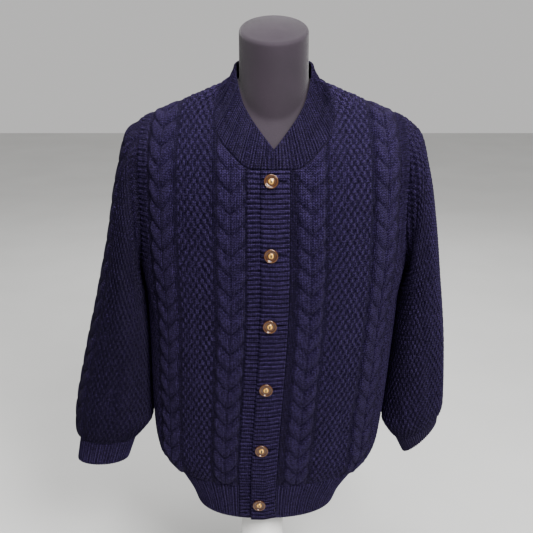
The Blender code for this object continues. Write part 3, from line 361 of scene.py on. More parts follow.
def column_top(arc, face):
    arc = np.abs(np.asarray(arc, float))
    neck = FRONT_NECK if face == "front" else BACK_NECK
    neckline = np.interp(arc, neck[:, 0], neck[:, 1])
    ridge = shoulder_height(arc)
    return np.where(arc < SHOULDER_ARC - 0.1, np.minimum(neckline, ridge), ridge)


def panel_point(arc, part, face, low=HEM_TOP):
    """Point of a panel: part runs from 0 at its lower edge to 1 at its upper edge."""
    arc = np.asarray(arc, float)
    part = np.broadcast_to(np.asarray(part, float), arc.shape)
    top = column_top(arc, face)
    height = low + (top - low) * np.sin(np.clip(part, 0, 1) * math.pi / 2)
    return torso_point(arc, height, face)


def rib_arc(share, height, side, face):
    """Knitted distance at a share of the gathered quarter girth."""
    quarter = np.interp(height, TABLE_HEIGHTS, QUARTERS[side, face])
    slack = GIRTH_QUARTER - quarter
    bend = slack / GIRTH_QUARTER ** 2
    reach = share * quarter
    return (1 - np.sqrt(np.maximum(1 - 4 * bend * reach, 0))) / (2 * bend)


def rib_point(share, height, side, face, start):
    quarter = np.interp(height, TABLE_HEIGHTS, QUARTERS[side, face])
    first = (start - (GIRTH_QUARTER - quarter) * (start / GIRTH_QUARTER) ** 2) / quarter
    arc = rib_arc(first + (1 - first) * share, height, side, face)
    return torso_point(np.maximum(arc, 0.001) * side, height, face)


def band_lift(x):
    """The buttonhole band rises over the button band beside it."""
    return BAND_LIFT * (1 - smooth_step(x, 1.0, BAND_SEAM))


def seam_half(side):
    """Points of the neckline seam on one half, front to back, with the panels' normals."""
    end = BAND_FREE_EDGE if side > 0 else -UNDER_FREE_EDGE
    front = np.concatenate([np.linspace(end, 92.0, 90), np.linspace(93.0, SHOULDER_ARC, 50)])
    back = np.concatenate([np.linspace(SHOULDER_ARC, 93.0, 40), np.linspace(92.0, 0.0, 60)])
    rows = []
    normals = []
    for face, arcs in (("front", front), ("back", back)):
        signed = arcs * side
        edge = torso_point(signed, column_top(signed, face), face)
        below = torso_point(signed, column_top(signed, face) - 6.0, face)
        beside = torso_point(signed + 2.0, column_top(signed, face) - 6.0, face)
        normal = unit(np.cross(beside - below, edge - below))
        normal = normal * np.sign((normal * (edge - TORSO_MIDDLE)).sum(axis=-1, keepdims=True))
        rows.append(edge)
        normals.append(normal)
    points = np.concatenate([np.concatenate(rows), np.concatenate(normals)], axis=1)
    places = np.concatenate([front, 2 * SHOULDER_ARC + 1 - back])
    steps = np.linalg.norm(np.diff(points[:, :3], axis=0), axis=1)
    return points, places, np.concatenate([[0.0], np.cumsum(steps)])


def neckband_half(side):
    """Seam, inner edge and bow of the neckband along one half, by length of seam."""
    points, arcs, length = seam_half(side)
    knots = []
    values = []
    for face, distance, x, y, z, bow in NECKBAND:
        if side < 0 and distance < 0:
            continue
        place = distance if face == "front" else 2 * SHOULDER_ARC + 1 - distance
        knots.append(float(np.interp(place, arcs, length)))
        values.append((sway(z) + side * x, y, z, bow))
    shoulder = float(np.interp(SHOULDER_ARC + 0.5, arcs, length))
    return points, length, np.array(knots), np.array(values), shoulder


def neckband_line():
    """The whole neckband as one run: left front end, back, right front end."""
    left_seam, left_length, left_knots, left_values, left_shoulder = neckband_half(1)
    right_seam, right_length, right_knots, right_values, right_shoulder = neckband_half(-1)
    total = left_length[-1] + right_length[-1]
    length = np.concatenate([left_length, total - right_length[-2::-1]])
    seam = np.concatenate([left_seam, right_seam[-2::-1]])
    knots = np.concatenate([left_knots, total - right_knots[-2::-1]])
    values = np.concatenate([left_values, right_values[-2::-1]])
    shoulders = (left_shoulder, total - right_shoulder)
    return length, seam, knots, values, shoulders


def seam_at(along, line, first=0):
    """Point of the neckline seam, or with first=3 the panels' normal there."""
    length, seam = line[:2]
    return np.stack([np.interp(along, length, seam[:, first + axis]) for axis in range(3)], axis=-1)


def neckband_point(along, rise, line):
    """Outer ground of the neckband: rise runs from 0 at the seam to 1 at the free edge."""
    low = seam_at(along, line)
    read = curve_at(line[2], line[3], along)
    high = read[..., :3]
    reach = unit(high - low)
    low = low + reach * NECK_GAP
    out = unit(np.cross(seam_at(along + 6, line) - seam_at(along - 6, line), reach))
    share = rise[..., None]
    bow = read[..., 3:4] * 4 * share * (1 - share)
    return low + (high - low) * share + out * bow


def armhole_height(turn):
    middle = (ARMHOLE_LOW + ARMHOLE_TOP) / 2
    return middle + (ARMHOLE_TOP - ARMHOLE_LOW) / 2 * np.cos(np.radians(turn))


def armhole_loop(side, turns):
    """The armhole's edge at a sleeve's angles, moved out by the seam's gap."""
    heights = np.minimum(armhole_height(turns), float(shoulder_height(GIRTH_QUARTER)))
    arcs = np.full(heights.shape, side * GIRTH_QUARTER)
    front = torso_point(arcs, heights, "front")
    back = torso_point(arcs, heights, "back")
    on_front = (turns % 360.0 < 180.0)[:, None]
    return np.where(on_front, front, back) + np.array([side * SEAM_GAP, 0, 0])


def sleeve_stations(side, turns):
    """Loops of points from the cuff's seam up to the armhole, at the given angles."""
    loops = []
    angle = np.radians(turns)
    for outer_x, outer_z, inner_x, inner_z, middle_y, half_depth in SLEEVES[side][::-1]:
        middle_x = (outer_x + inner_x) / 2
        middle_z = (outer_z + inner_z) / 2
        x = middle_x + (outer_x - inner_x) / 2 * np.cos(angle)
        z = middle_z + (outer_z - inner_z) / 2 * np.cos(angle)
        back = SLEEVE_SET_BACK * smooth_step(inner_z, 665.0, 590.0) * smooth_step(inner_z, 380.0, 430.0)
        y = middle_y - half_depth * np.sin(angle) + back * (1 - np.cos(angle)) / 2
        loops.append(np.stack([NECK_X + side * x, y, z], axis=-1))
    loops.append(armhole_loop(side, turns))
    return np.array(loops)


def cuff_loop(side, turns):
    outer_x, outer_z, inner_x, inner_z, middle_y, half_depth = CUFF_ENDS[side]
    angle = np.radians(turns)
    x = (outer_x + inner_x) / 2 + (outer_x - inner_x) / 2 * np.cos(angle)
    z = (outer_z + inner_z) / 2 + (outer_z - inner_z) / 2 * np.cos(angle)
    y = middle_y - half_depth * np.sin(angle)
    return np.stack([NECK_X + side * x, y, z], axis=-1)


def paired_curve(knots, loops, turns_at, parts):
    """Smooth curve through stations of points, each point read at a part of its own."""
    slope = slopes_of(knots, loops)
    parts = np.clip(parts, knots[0], knots[-1])
    index = np.clip(np.searchsorted(knots, parts, side="right") - 1, 0, len(knots) - 2)
    step = (knots[index + 1] - knots[index])[:, None]
    part = (parts - knots[index])[:, None] / step
    square = part * part
    cube = square * part
    low = loops[index, turns_at]
    high = loops[index + 1, turns_at]
    return ((2 * cube - 3 * square + 1) * low + (cube - 2 * square + part) * step * slope[index, turns_at]
            + (3 * square - 2 * cube) * high + (cube - square) * step * slope[index + 1, turns_at])


def station_knots(side):
    loops = sleeve_stations(side, np.arange(0.0, 360.0, 15.0))
    steps = np.linalg.norm(np.diff(loops, axis=0), axis=-1).mean(axis=1)
    return np.concatenate([[0.0], np.cumsum(steps)]) / steps.sum()


def cuff_point(side, turns, parts):
    """Point of a cuff: part runs from 0 at its open end to 1 at the sleeve's seam."""
    low = cuff_loop(side, turns)
    high = sleeve_stations(side, turns)[0]
    share = np.reshape(parts, (-1, 1))
    return low + (high - low) * share


def form_ridge(across):
    droop = 32.0 * (across / 204.0) ** 10
    return ridge_height(across) - FORM_CLEARANCE * 1.08 - droop


def form_ring(height):
    """Points of the form's level section: torso and neck in one smooth outline."""
    half, front, back = curve_at(FORM[:, 0], FORM[:, 1:], height)
    radius = float(curve_at(FORM_NECK[:, 0], FORM_NECK[:, 1:], height)[0])
    across = half * np.sin(np.linspace(0, math.pi / 2, 181)) ** (2 / SECTION_POWER)
    below = form_ridge(across) - height
    across = across[below > 0]
    turns = np.radians(np.arange(0, 360, 360 / FORM_SIDES))
    torso = np.full(turns.shape, 1.0)
    if len(across) > 2:
        if len(across) < 181:
            end = np.interp(0.0, -below[:len(across) + 1], np.append(across, across[-1] + 1.0))
            across = np.append(across, end)
        down = np.clip(form_ridge(across) - height, 0, None)
        shape = np.clip(1 - (across / half) ** SECTION_POWER, 0, 1) ** (1 / SECTION_POWER)
        rounding = SHOULDER_ROUND * np.sqrt(1 - (across / 245.0) ** 2) - FORM_CLEARANCE
        full = np.sqrt(1 - (1 - np.clip(down / rounding, 0, 1)) ** 2)
        outline_front = RIDGE_Y + (front - RIDGE_Y) * shape * full
        outline_back = RIDGE_Y + (back - RIDGE_Y) * shape * full
        for index, turn in enumerate(turns):
            x, y = abs(math.sin(turn)), -math.cos(turn)
            outline = outline_front if y <= 0 else outline_back
            angles = np.arctan2(across, np.abs(outline))
            reach = np.hypot(across, outline)
            torso[index] = np.interp(math.atan2(x, abs(y)), angles, reach)
    reach = (torso ** BLEND_POWER + radius ** BLEND_POWER) ** (1 / BLEND_POWER)
    offset = float(sway(np.array(height)))
    return [(offset + r * math.sin(t), -r * math.cos(t), float(height)) for r, t in zip(reach, turns)]


def neck_ring(height, radius):
    """A level of the neck; towards the top the rings tilt with the top face."""
    tilt = math.tan(math.radians(NECK_TILT)) * smooth_step(height, 1006.0, NECK_TOP)
    points = []
    for step in range(FORM_SIDES):
        turn = 2 * math.pi * step / FORM_SIDES
        y = -radius * math.cos(turn)
        points.append((NECK_X + radius * math.sin(turn), y, height + tilt * y))
    return points


# ---------------------------------------------------------------- shells from grids

INNER_EVERY = 4


def spread(columns, closed):
    """Indices of the plain inside's rows or columns: every few, with the last one."""
    if closed:
        return np.arange(0, columns, INNER_EVERY)
    return np.unique(np.append(np.arange(0, columns, INNER_EVERY), columns - 1))


def grid_faces(index, closed):
    """Quads over a grid of vertex numbers, rows up and columns round."""
    ring = np.concatenate([index, index[:, :1]], axis=1) if closed else index
    return np.stack([ring[:-1, :-1], ring[:-1, 1:], ring[1:, 1:], ring[1:, :-1]], axis=-1).reshape(-1, 4)


def strip(fine, fine_keys, coarse, coarse_keys):
    """Triangles between an edge of the outside and the same edge of the inside."""
    faces = []
    i = 0
    j = 0
    while i < len(fine) - 1 or j < len(coarse) - 1:
        ahead = coarse_keys[j + 1] if j < len(coarse) - 1 else math.inf
        if i < len(fine) - 1 and fine_keys[i + 1] <= ahead:
            faces.append((fine[i], fine[i + 1], coarse[j]))
            i += 1
        else:
            faces.append((fine[i], coarse[j + 1], coarse[j]))
            j += 1
    return faces


def grid_normals(ground, closed):
    """Unit normals of a grid surface, rows up and columns round."""
    if closed:
        around = np.roll(ground, -1, axis=1) - np.roll(ground, 1, axis=1)
    else:
        around = np.gradient(ground, axis=1)
    return unit(np.cross(around, np.gradient(ground, axis=0)))


def outward_normals(ground, closed, middle):
    normal = grid_normals(ground, closed)
    away = ground - middle
    return normal if (normal * away).sum() > 0 else -normal


def lengths_up(ground):
    """Distance of each point from the lower edge along its column."""
    steps = np.linalg.norm(np.diff(ground, axis=0), axis=-1)
    return np.concatenate([np.zeros((1, ground.shape[1])), np.cumsum(steps, axis=0)])


def shell(name, ground, normal, relief, shade, paint, across, along, closed=False):
    """Knitted shell: the outside is raised by relief, and the inside is plain.

    across and along, in millimetres of knit, become the UV map that the stitches follow;
    shade is 0 in a furrow and 1 on a crest, and is stored as the crest attribute: painted shade
    in the furrows and painted light on the crests.
    """
    rows, columns = ground.shape[:2]
    outer = ground + normal * relief[..., None]
    row_pick = spread(rows, False)
    column_pick = spread(columns, closed)
    inner = (ground - normal * WALL)[np.ix_(row_pick, column_pick)]
    outer_index = np.arange(rows * columns).reshape(rows, columns)
    inner_index = rows * columns + np.arange(inner.shape[0] * inner.shape[1]).reshape(inner.shape[:2])
    points = np.concatenate([outer.reshape(-1, 3), inner.reshape(-1, 3)])
    inner_faces = grid_faces(inner_index, closed)[:, ::-1]
    quads = np.concatenate([grid_faces(outer_index, closed), inner_faces])
    fine = list(range(columns)) + ([columns] if closed else [])
    coarse = list(column_pick) + ([columns] if closed else [])
    ring = np.array(fine) % columns
    inner_ring = np.arange(len(coarse)) % len(column_pick)
    low = strip(outer_index[0, ring], fine, inner_index[0, inner_ring], coarse)
    high = strip(outer_index[-1, ring], fine, inner_index[-1, inner_ring], coarse)
    triangles = [(a, c, b) for a, b, c in low] + high
    if not closed:
        first = strip(outer_index[:, 0], range(rows), inner_index[:, 0], row_pick)
        last = strip(outer_index[:, -1], range(rows), inner_index[:, -1], row_pick)
        triangles += first + [(a, c, b) for a, b, c in last]
    uv = np.stack([across, along], axis=-1)
    uv = np.concatenate([uv.reshape(-1, 2), uv[np.ix_(row_pick, column_pick)].reshape(-1, 2)])
    piece = mesh_piece(name, points, quads, np.array(triangles), uv, paint)
    # crest attribute: painted shade in the furrows and painted light on the crests; the plain inside gets
    # 0.5
    layer = piece.data.attributes.new("crest", "FLOAT", "POINT")
    layer.data.foreach_set("value", np.concatenate([shade.reshape(-1), np.full(inner.size // 3, 0.5)]))
    return piece


def mesh_piece(name, points, quads, triangles, uv, paint):
    """Object from points in millimetres, with faces that all look outwards."""
    corners = np.concatenate([quads.reshape(-1), triangles.reshape(-1)]).astype(np.int32)
    totals = np.concatenate([np.full(len(quads), 4), np.full(len(triangles), 3)])
    starts = np.concatenate([[0], np.cumsum(totals)[:-1]]).astype(np.int32)
    mesh = bpy.data.meshes.new(name)
    mesh.vertices.add(len(points))
    mesh.vertices.foreach_set("co", (points * MM).astype(np.float32).reshape(-1))
    mesh.loops.add(len(corners))
    mesh.loops.foreach_set("vertex_index", corners)
    mesh.polygons.add(len(starts))
    mesh.polygons.foreach_set("loop_start", starts)
    mesh.update(calc_edges=True)
    layer = mesh.uv_layers.new(name="knit")
    layer.data.foreach_set("uv", (uv[corners] * 0.01).astype(np.float32).reshape(-1))
    mesh.validate()
    mesh.shade_smooth()
    mesh.materials.append(paint)
    tall = np.cross(points[quads[:, 2]] - points[quads[:, 0]], points[quads[:, 3]] - points[quads[:, 1]])
    volume = (tall * points[quads[:, 0]]).sum()
    if volume < 0:
        mesh.flip_normals()
    piece = bpy.data.objects.new(name, mesh)
    bpy.context.scene.collection.objects.link(piece)
    return piece


# ---------------------------------------------------------------- raised stitches and folds

STRAND_RISE = 0.012         # extra slant of a strand towards the cable's edge
MOSS_ACROSS = 10.3          # one bump and one hollow of the moss stitch
MOSS_ALONG = 17.6


def strand_phase(away, along):
    """Place within a plait's repeat: strands leave the edge steeply and sweep to the middle."""
    path = 0.80 * away + STRAND_RISE * away ** 2
    return (along - path) / CABLE_PITCH


def cable(offset, along):
    """Raised plait: plump strands with deep furrows, and a furrow down the middle.

    This and the next two give the height and how far it is from furrow to crest.
    """
    away = np.abs(offset)
    phase = strand_phase(away, along)
    turn = phase - np.floor(phase)
    strand = np.sqrt(np.clip(1 - (2 * turn - 1) ** 2, 0, 1))
    lobe = 1.6 * np.cos(2 * math.pi * (strand_phase(18.0, along) - 0.5))
    edge = np.clip((CABLE_WIDTH / 2 - 0.6 + lobe - away) / 6.5, 0, 1)
    shoulder = np.sin(edge * math.pi / 2)
    middle = 1 - 0.42 * np.exp(-(away / 2.2) ** 2)
    crest = shoulder * middle * (0.08 + 0.92 * strand)
    return CABLE_HEIGHT * 1.1 * crest, crest


def moss(across, along):
    """Bumps of moss stitch on a staggered lattice."""
    wave = np.cos(2 * math.pi * across / MOSS_ACROSS) * np.cos(2 * math.pi * along / MOSS_ALONG)
    crest = smooth_step(wave, -0.55, 0.75)
    return MOSS_HEIGHT * (1.8 * crest - 0.35), 0.12 + 0.88 * crest


def ribs(place, pitch, height):
    """Rounded ribs with narrow furrows; place and pitch are in millimetres."""
    crest = (0.5 + 0.5 * np.cos(2 * math.pi * place / pitch)) ** 0.62
    return height * crest, crest


def fold(across, along, crease):
    """One soft crease: a trough or ridge that fades at both ends."""
    start, end, width, depth = crease
    way = np.subtract(end, start)
    length = math.hypot(way[0], way[1])
    way = way / length
    run = (across - start[0]) * way[0] + (along - start[1]) * way[1]
    side = (across - start[0]) * way[1] - (along - start[1]) * way[0]
    fade = np.clip(run / length, 0, 1)
    ends = np.where((run > 0) & (run < length), np.sin(math.pi * fade) ** 0.8, 0.0)
    return depth * ends * np.exp(-(side / width) ** 2)


def folds(across, along, creases):
    total = np.zeros_like(across)
    for crease in creases:
        total += fold(across, along, crease)
    return total


# creases: start and end in knitted millimetres (from the centre line, up from the seam),
# width, and height above the cloth (a trough is below it)
FRONT_CREASES = {
    1: (((120, 60), (190, 190), 16, -2.6), ((140, 30), (235, 110), 14, 2.2),
        ((215, 250), (262, 400), 12, -2.8), ((190, 400), (245, 520), 15, 1.8),
        ((60, 18), (110, 62), 12, -1.8), ((100, 330), (150, 470), 20, -1.4),
        ((150, 8), (165, 70), 9, 2.0), ((205, 6), (214, 64), 9, 2.2), ((90, 6), (96, 56), 8, 1.8)),
    -1: (((110, 50), (200, 170), 17, -2.4), ((150, 20), (240, 120), 13, 2.4),
         ((210, 260), (262, 390), 12, -2.6), ((185, 390), (240, 540), 15, 1.6),
         ((70, 12), (128, 66), 12, -2.0), ((110, 380), (140, 500), 20, -1.4),
         ((170, 8), (180, 66), 9, 2.0), ((222, 8), (230, 70), 10, 2.2), ((100, 8), (104, 54), 8, 1.6)),
}
BACK_CREASES = (
    ((-210, 30), (-120, 150), 16, -2.6), ((205, 40), (130, 170), 17, -2.4),
    ((-235, 250), (-205, 400), 12, -2.6), ((238, 240), (210, 400), 12, -2.8),
    ((-60, 20), (-20, 130), 14, -2.0), ((70, 25), (30, 120), 14, 2.0),
    ((-150, 380), (-90, 520), 20, -1.4), ((150, 390), (100, 510), 20, -1.4),
    ((-165, 6), (-158, 66), 9, 2.2), ((-110, 6), (-104, 60), 8, 1.8), ((-30, 6), (-28, 58), 9, 2.0),
    ((105, 6), (100, 58), 8, 1.8), ((170, 6), (166, 70), 10, 2.2), ((236, 6), (230, 60), 9, 1.8),
)


def hem_fade(along, length, reach=5.0):
    """Nothing is raised right at a seam."""
    return smooth_step(along, 0.3, reach) * smooth_step(length - along, 0.3, reach)


# ---------------------------------------------------------------- body panels

DITCH_SHADE = 0.16          # painted shade of the plain purl beside a plait
PLAIT_SHADE = 0.72          # painted light of a plait's highest strands
PLAIT_EDGE = CABLE_WIDTH / 2 + 1.5     # the plait ends here, from its middle
DITCH_INNER = CABLE_WIDTH / 2 + 4.0    # the plain ditch beside it fades out from here
DITCH_OUTER = CABLE_WIDTH / 2 + 7.5    # to here, where the moss stitch is full
SHOULDER_START = 850.0      # height above which a column turns over the shoulder
PANEL_LENGTH = 700.0
FRONT_STEPS = (8, 2.05)     # columns in a repeat of the moss stitch, and mm between rows
BACK_STEPS = (6, 2.9)


def moss_columns(start, end, count):
    """Places from start to end that keep step with the moss stitch."""
    step = MOSS_ACROSS / count
    first = math.floor(min(start, end) / step) + 1
    last = math.ceil(max(start, end) / step) - 1
    places = np.arange(first, last + 1) * step
    return np.concatenate([[start], places if end > start else places[::-1], [end]])


def even_parts(path, fine, rows):
    """Parts of each column's path that space a grid's rows evenly along it."""
    reach = lengths_up(path)
    even = np.linspace(0.0, 1.0, rows)
    parts = np.empty((rows, path.shape[1]))
    for column in range(path.shape[1]):
        parts[:, column] = np.interp(even * reach[-1, column], reach[:, column], fine)
    return parts


def panel_grid(arcs, face, low, rows):
    """Ground points with rows evenly spaced along every column."""
    fine = np.linspace(0.0, 1.0, 321)
    parts, places = np.meshgrid(fine, arcs, indexing="ij")
    picked = even_parts(panel_point(places, parts, face, low), fine, rows)
    ground = panel_point(np.broadcast_to(arcs, picked.shape), picked, face, low)
    return ground, lengths_up(ground)


def knit_rows(ground, along):
    """Rows of knitting are level on the body and follow each column over the shoulder."""
    middle = ground.shape[1] // 2
    level = np.interp(ground[..., 2], ground[:, middle, 2], along[:, middle])
    rise = np.array([np.interp(SHOULDER_START, ground[:, column, 2], along[:, column])
                     for column in range(ground.shape[1])])
    base = float(np.interp(SHOULDER_START, ground[:, middle, 2], along[:, middle]))
    return np.where(ground[..., 2] < SHOULDER_START, level, base + along - rise)


def cable_centres(side, face):
    if face == "back":
        return (BACK_INNER_CABLE, OUTER_CABLE)
    return (INNER_CABLE[side], OUTER_CABLE)


def plait_beside_moss(offset, row, top):
    """A plait's place, height, shade, and the moss's cover: 0 in its ditches and 1 beyond."""
    away = np.abs(offset)
    plait, crest = cable(offset, row)
    height = plait * (0.45 + 0.55 * smooth_step(top, 4.0, 34.0))
    shade = DITCH_SHADE + (PLAIT_SHADE - DITCH_SHADE) * crest
    return away <= PLAIT_EDGE, height, shade, smooth_step(away, DITCH_INNER, DITCH_OUTER)


def knit_relief(arcs, row, top, face):
    """Plaits, the plain ditches beside them, and moss stitch over the rest of a panel."""
    side = 1 if arcs.mean() > 0 else -1
    out = np.abs(arcs)
    cover = np.ones_like(out)
    height = np.zeros_like(out)
    shade = np.full_like(out, DITCH_SHADE)
    for centre in cable_centres(side, face):
        inside, plait, plait_shade, beyond = plait_beside_moss(out - centre, row, top)
        height = np.where(inside, plait, height)
        shade = np.where(inside, plait_shade, shade)
        cover *= beyond
    if face == "front":
        seam = (BAND_SEAM if side > 0 else -UNDER_SEAM) + 2.0
        cover *= smooth_step(out, seam + 4.0, seam + 9.0)
    cover *= smooth_step(GIRTH_QUARTER - out, 2.0, 8.0)
    bumps, crest = moss(arcs, row)
    return height + cover * bumps, shade * (1 - cover) + cover * crest


def make_panel(name, arcs, face, paint, creases):
    """A front or the back; the back is one piece, each half with its own side's sections."""
    step = FRONT_STEPS[1] if face == "front" else BACK_STEPS[1]
    rows = int(PANEL_LENGTH / step)
    ground, along = panel_grid(arcs, face, HEM_TOP + SEAM_GAP / 2, rows)
    normal = outward_normals(ground, False, TORSO_MIDDLE)
    places = np.broadcast_to(arcs, along.shape)
    row = knit_rows(ground, along)
    relief, shade = knit_relief(places, row, along[-1] - along, face)
    relief = relief + folds(np.abs(places) if face == "front" else places, along, creases)
    edge = smooth_step(np.abs(places), GIRTH_QUARTER, GIRTH_QUARTER - 4.0)
    relief = relief * hem_fade(along, along[-1]) * edge
    return shell(name, ground, normal, relief, shade, paint, places, row)


def make_panels(paint):
    left = moss_columns(BAND_SEAM + SEAM_GAP, GIRTH_QUARTER, FRONT_STEPS[0])
    right = moss_columns(-GIRTH_QUARTER, UNDER_SEAM - SEAM_GAP, FRONT_STEPS[0])
    back = moss_columns(GIRTH_QUARTER, -GIRTH_QUARTER, BACK_STEPS[0])
    return {
        "front_left": make_panel("knit_front_left", left, "front", paint, FRONT_CREASES[1]),
        "front_right": make_panel("knit_front_right", right, "front", paint, FRONT_CREASES[-1]),
        "back": make_panel("knit_back", back, "back", paint, BACK_CREASES),
    }


# ---------------------------------------------------------------- hem rib, bands and cuffs

HEM_RIB_PITCH = 4.3
BAND_STEP = 1.1             # between the rows of a front band
RIB_SAMPLES = 6
CUFF_FINE_RIBS = {-1: 58, 1: 64}


def welt_ribs(place, pitch, along):
    """Ribs of a hem or cuff: flat at the seam above, and drawn in at the free edge."""
    relief, shade = ribs(place, pitch, RIB_HEIGHT * 1.25)
    relief = relief * smooth_step(along[-1] - along, 0.2, 3.0) - 0.9 * smooth_step(along, 3.0, 0.0)
    return relief, shade


def hem_piece(name, parts, paint):
    """A hem rib over one or two quarters: (side, face, start), each from its centre out."""
    grids = []
    places = []
    heights = np.linspace(HEM_LOW, HEM_TOP - SEAM_GAP / 2, 25)
    for side, face, start in parts:
        quarter = float(QUARTERS[side, face][0])
        count = int(round((quarter - start) / HEM_RIB_PITCH))
        shares = np.linspace(0.0, 1.0, RIB_SAMPLES * count + 1)
        rise, share = np.meshgrid(heights, shares, indexing="ij")
        grid = rib_point(share, rise, side, face, start)
        place = share * count * HEM_RIB_PITCH
        if side < 0:
            grid = grid[:, ::-1]
            place = -place[:, ::-1]
        grids.append(grid)
        places.append(place)
    if len(grids) == 2:
        grids[1] = grids[1][:, 1:]
        places[1] = places[1][:, 1:]
    ground = np.concatenate(grids, axis=1)
    place = np.concatenate(places, axis=1)
    along = lengths_up(ground)
    normal = outward_normals(ground, False, TORSO_MIDDLE)
    relief, shade = welt_ribs(place, HEM_RIB_PITCH, along)
    return shell(name, ground, normal, relief, shade, paint, place, along)


def make_hem(paint):
    return {
        "hem_rib_left": hem_piece("knit_hem_left", ((1, "front", BAND_SEAM + SEAM_GAP),), paint),
        "hem_rib_right": hem_piece("knit_hem_right", ((-1, "front", -UNDER_SEAM + SEAM_GAP),), paint),
        "hem_rib_back": hem_piece("knit_hem_back", ((-1, "back", 0.0), (1, "back", 0.0)), paint),
    }


def make_band(name, arcs, lifted, paint):
    """Front band, ribbed from side to side; the upper one has puckered buttonholes."""
    rows = int(PANEL_LENGTH / BAND_STEP)
    ground, along = panel_grid(arcs, "front", HEM_LOW, rows)
    normal = outward_normals(ground, False, TORSO_MIDDLE)
    places = np.broadcast_to(arcs, along.shape)
    lift = band_lift(places) if lifted else np.zeros_like(places)
    wander = 0.8 * np.sin(places / 9.0 + along / 70.0)
    relief, shade = ribs(along + wander, BAND_PITCH, RIB_HEIGHT * 1.5)
    if lifted:
        for height in BUTTON_HEIGHTS:
            hole = buttonhole(places, ground[..., 2] - height)
            relief = relief + hole
            # the slit darkens and the lip above it lightens: painted shade in the buttonhole and painted
            # light on its lip
            shade = np.clip(shade + hole * 0.5, 0, 1)
    edge = smooth_step(places, arcs[0], arcs[0] + 1.8) * smooth_step(places, arcs[-1], arcs[-1] - 1.8)
    relief = relief * edge * hem_fade(along, along[-1], 3.0)
    return shell(name, ground + normal * lift[..., None], normal, relief, shade, paint, along, places)


def buttonhole(across, rise):
    """A slit beside the button, pulled open at the button, with a raised lip above it."""
    reach = smooth_step(across, 3.0, 7.0) * smooth_step(across, 22.5, 16.0)
    slit = -3.4 * np.exp(-((rise + 0.3) / (1.1 + 0.09 * (18.0 - across).clip(0, 14))) ** 2)
    lip = 0.9 * np.exp(-((rise - 3.4) / 2.0) ** 2) + 0.7 * np.exp(-((rise + 4.0) / 2.2) ** 2)
    return reach * (slit + lip)


def make_bands(paint):
    over = np.linspace(BAND_FREE_EDGE, BAND_SEAM, 29)
    under = np.linspace(UNDER_SEAM, UNDER_FREE_EDGE, 21)
    return {
        "buttonhole_band": make_band("knit_buttonhole_band", over, True, paint),
        "button_band": make_band("knit_button_band", under, False, paint),
    }


def make_cuff(name, side, paint):
    count = CUFF_FINE_RIBS[side]
    turns = np.arange(0.0, 360.0, 360.0 / (RIB_SAMPLES * count))
    turns = turns[: len(turns) // INNER_EVERY * INNER_EVERY]
    parts = np.linspace(0.0, 1.0, 21)
    ground = np.array([cuff_point(side, turns, np.full(turns.shape, part)) for part in parts])
    ground[-1, :, 2] -= SEAM_GAP
    along = lengths_up(ground)
    normal = outward_normals(ground, True, ground.mean(axis=1, keepdims=True))
    place = np.broadcast_to(turns * count / 360.0, along.shape)
    relief, shade = welt_ribs(place, 1.0, along)
    return shell(name, ground, normal, relief, shade, paint, place * HEM_RIB_PITCH, along, True)


# ---------------------------------------------------------------- neckband

NECKBAND_SHADE = 0.6        # drawn darker than the panels, whose light it doesn't catch
NECK_RIB_PITCH = 5.8


def make_neckband(paint):
    line = neckband_line()
    total = line[0][-1]
    count = int(round(total / NECK_RIB_PITCH))
    places = np.linspace(0.0, total, INNER_EVERY * 2 * count + 1)
    rises = np.linspace(0.0, 1.0, 33)
    rise, along = np.meshgrid(rises, places, indexing="ij")
    ground = np.array([neckband_point(places, row, line) for row in rise])
    normal = outward_normals(ground, False, NECK_MIDDLE)
    blend = smooth_step(rise, 0.12, 0.0)[..., None]
    normal = unit(normal * (1 - blend) + unit(seam_at(along, line, 3)) * blend)
    x = ground[..., 0] - sway(ground[..., 2])
    left_front = (along < total / 2) & (ground[..., 1] < -30)
    lift = np.where(left_front, band_lift(x), 0.0)
    crease = -1.3 * np.exp(-((rise - 0.36 - 0.05 * np.sin(along / 60.0)) / 0.075) ** 2)
    around = smooth_step(along, 50.0, 110.0) * smooth_step(total - along, 50.0, 110.0)
    relief, shade = ribs(along, total / count, RIB_HEIGHT * 1.35)
    relief = relief + crease * around
    # the crease also darkens the band: painted shade in the crease
    shade = np.clip(shade + 0.3 * crease * around, 0, 1) * NECKBAND_SHADE
    rim = smooth_step(rise, 1.0, 0.94) * smooth_step(rise, 0.0, 0.05)
    ends = smooth_step(along, 0.0, 2.0) * smooth_step(total - along, 0.0, 2.0)
    relief = relief * rim * ends
    up = lengths_up(ground)
    return {"neckband": shell("knit_neckband", ground + normal * lift[..., None], normal, relief,
                              shade, paint, along, up)}


# ---------------------------------------------------------------- sleeves

SLEEVE_MOSS = 42            # repeats of the moss stitch round a sleeve
SLEEVE_COLUMNS = 6 * SLEEVE_MOSS
SLEEVE_ROWS = 250

SLEEVE_SHADE = {-1: 0.35, 1: 0.75}    # drawn darker than the panels; the same yarn in less light

# creases on a sleeve: start and end as (turn in degrees, distance up from the cuff's seam)
SLEEVE_CREASES = {
    1: (((30, 40), (48, 240), 9, 3.4), ((52, 200), (66, 420), 10, 2.8),
        ((62, 30), (74, 190), 10, -3.2), ((84, 150), (96, 330), 12, -2.6),
        ((100, 14), (124, 110), 9, 2.8), ((150, 300), (128, 430), 12, -3.0),
        ((205, 40), (190, 200), 12, -3.0), ((236, 180), (222, 330), 12, 2.6),
        ((262, 320), (240, 440), 13, -2.6), ((330, 10), (338, 80), 9, 2.2)),
    -1: (((58, 120), (64, 330), 9, -3.4), ((78, 20), (92, 170), 10, -3.2),
         ((72, 300), (100, 430), 11, 2.6), ((104, 60), (112, 240), 11, 2.8),
         ((128, 250), (140, 400), 12, -3.0), ((118, 8), (134, 70), 9, 2.4),
         ((196, 60), (206, 230), 12, -3.0), ((238, 210), (226, 350), 12, 2.4),
         ((268, 330), (248, 440), 13, -2.6), ((300, 12), (306, 84), 9, 2.4)),
}


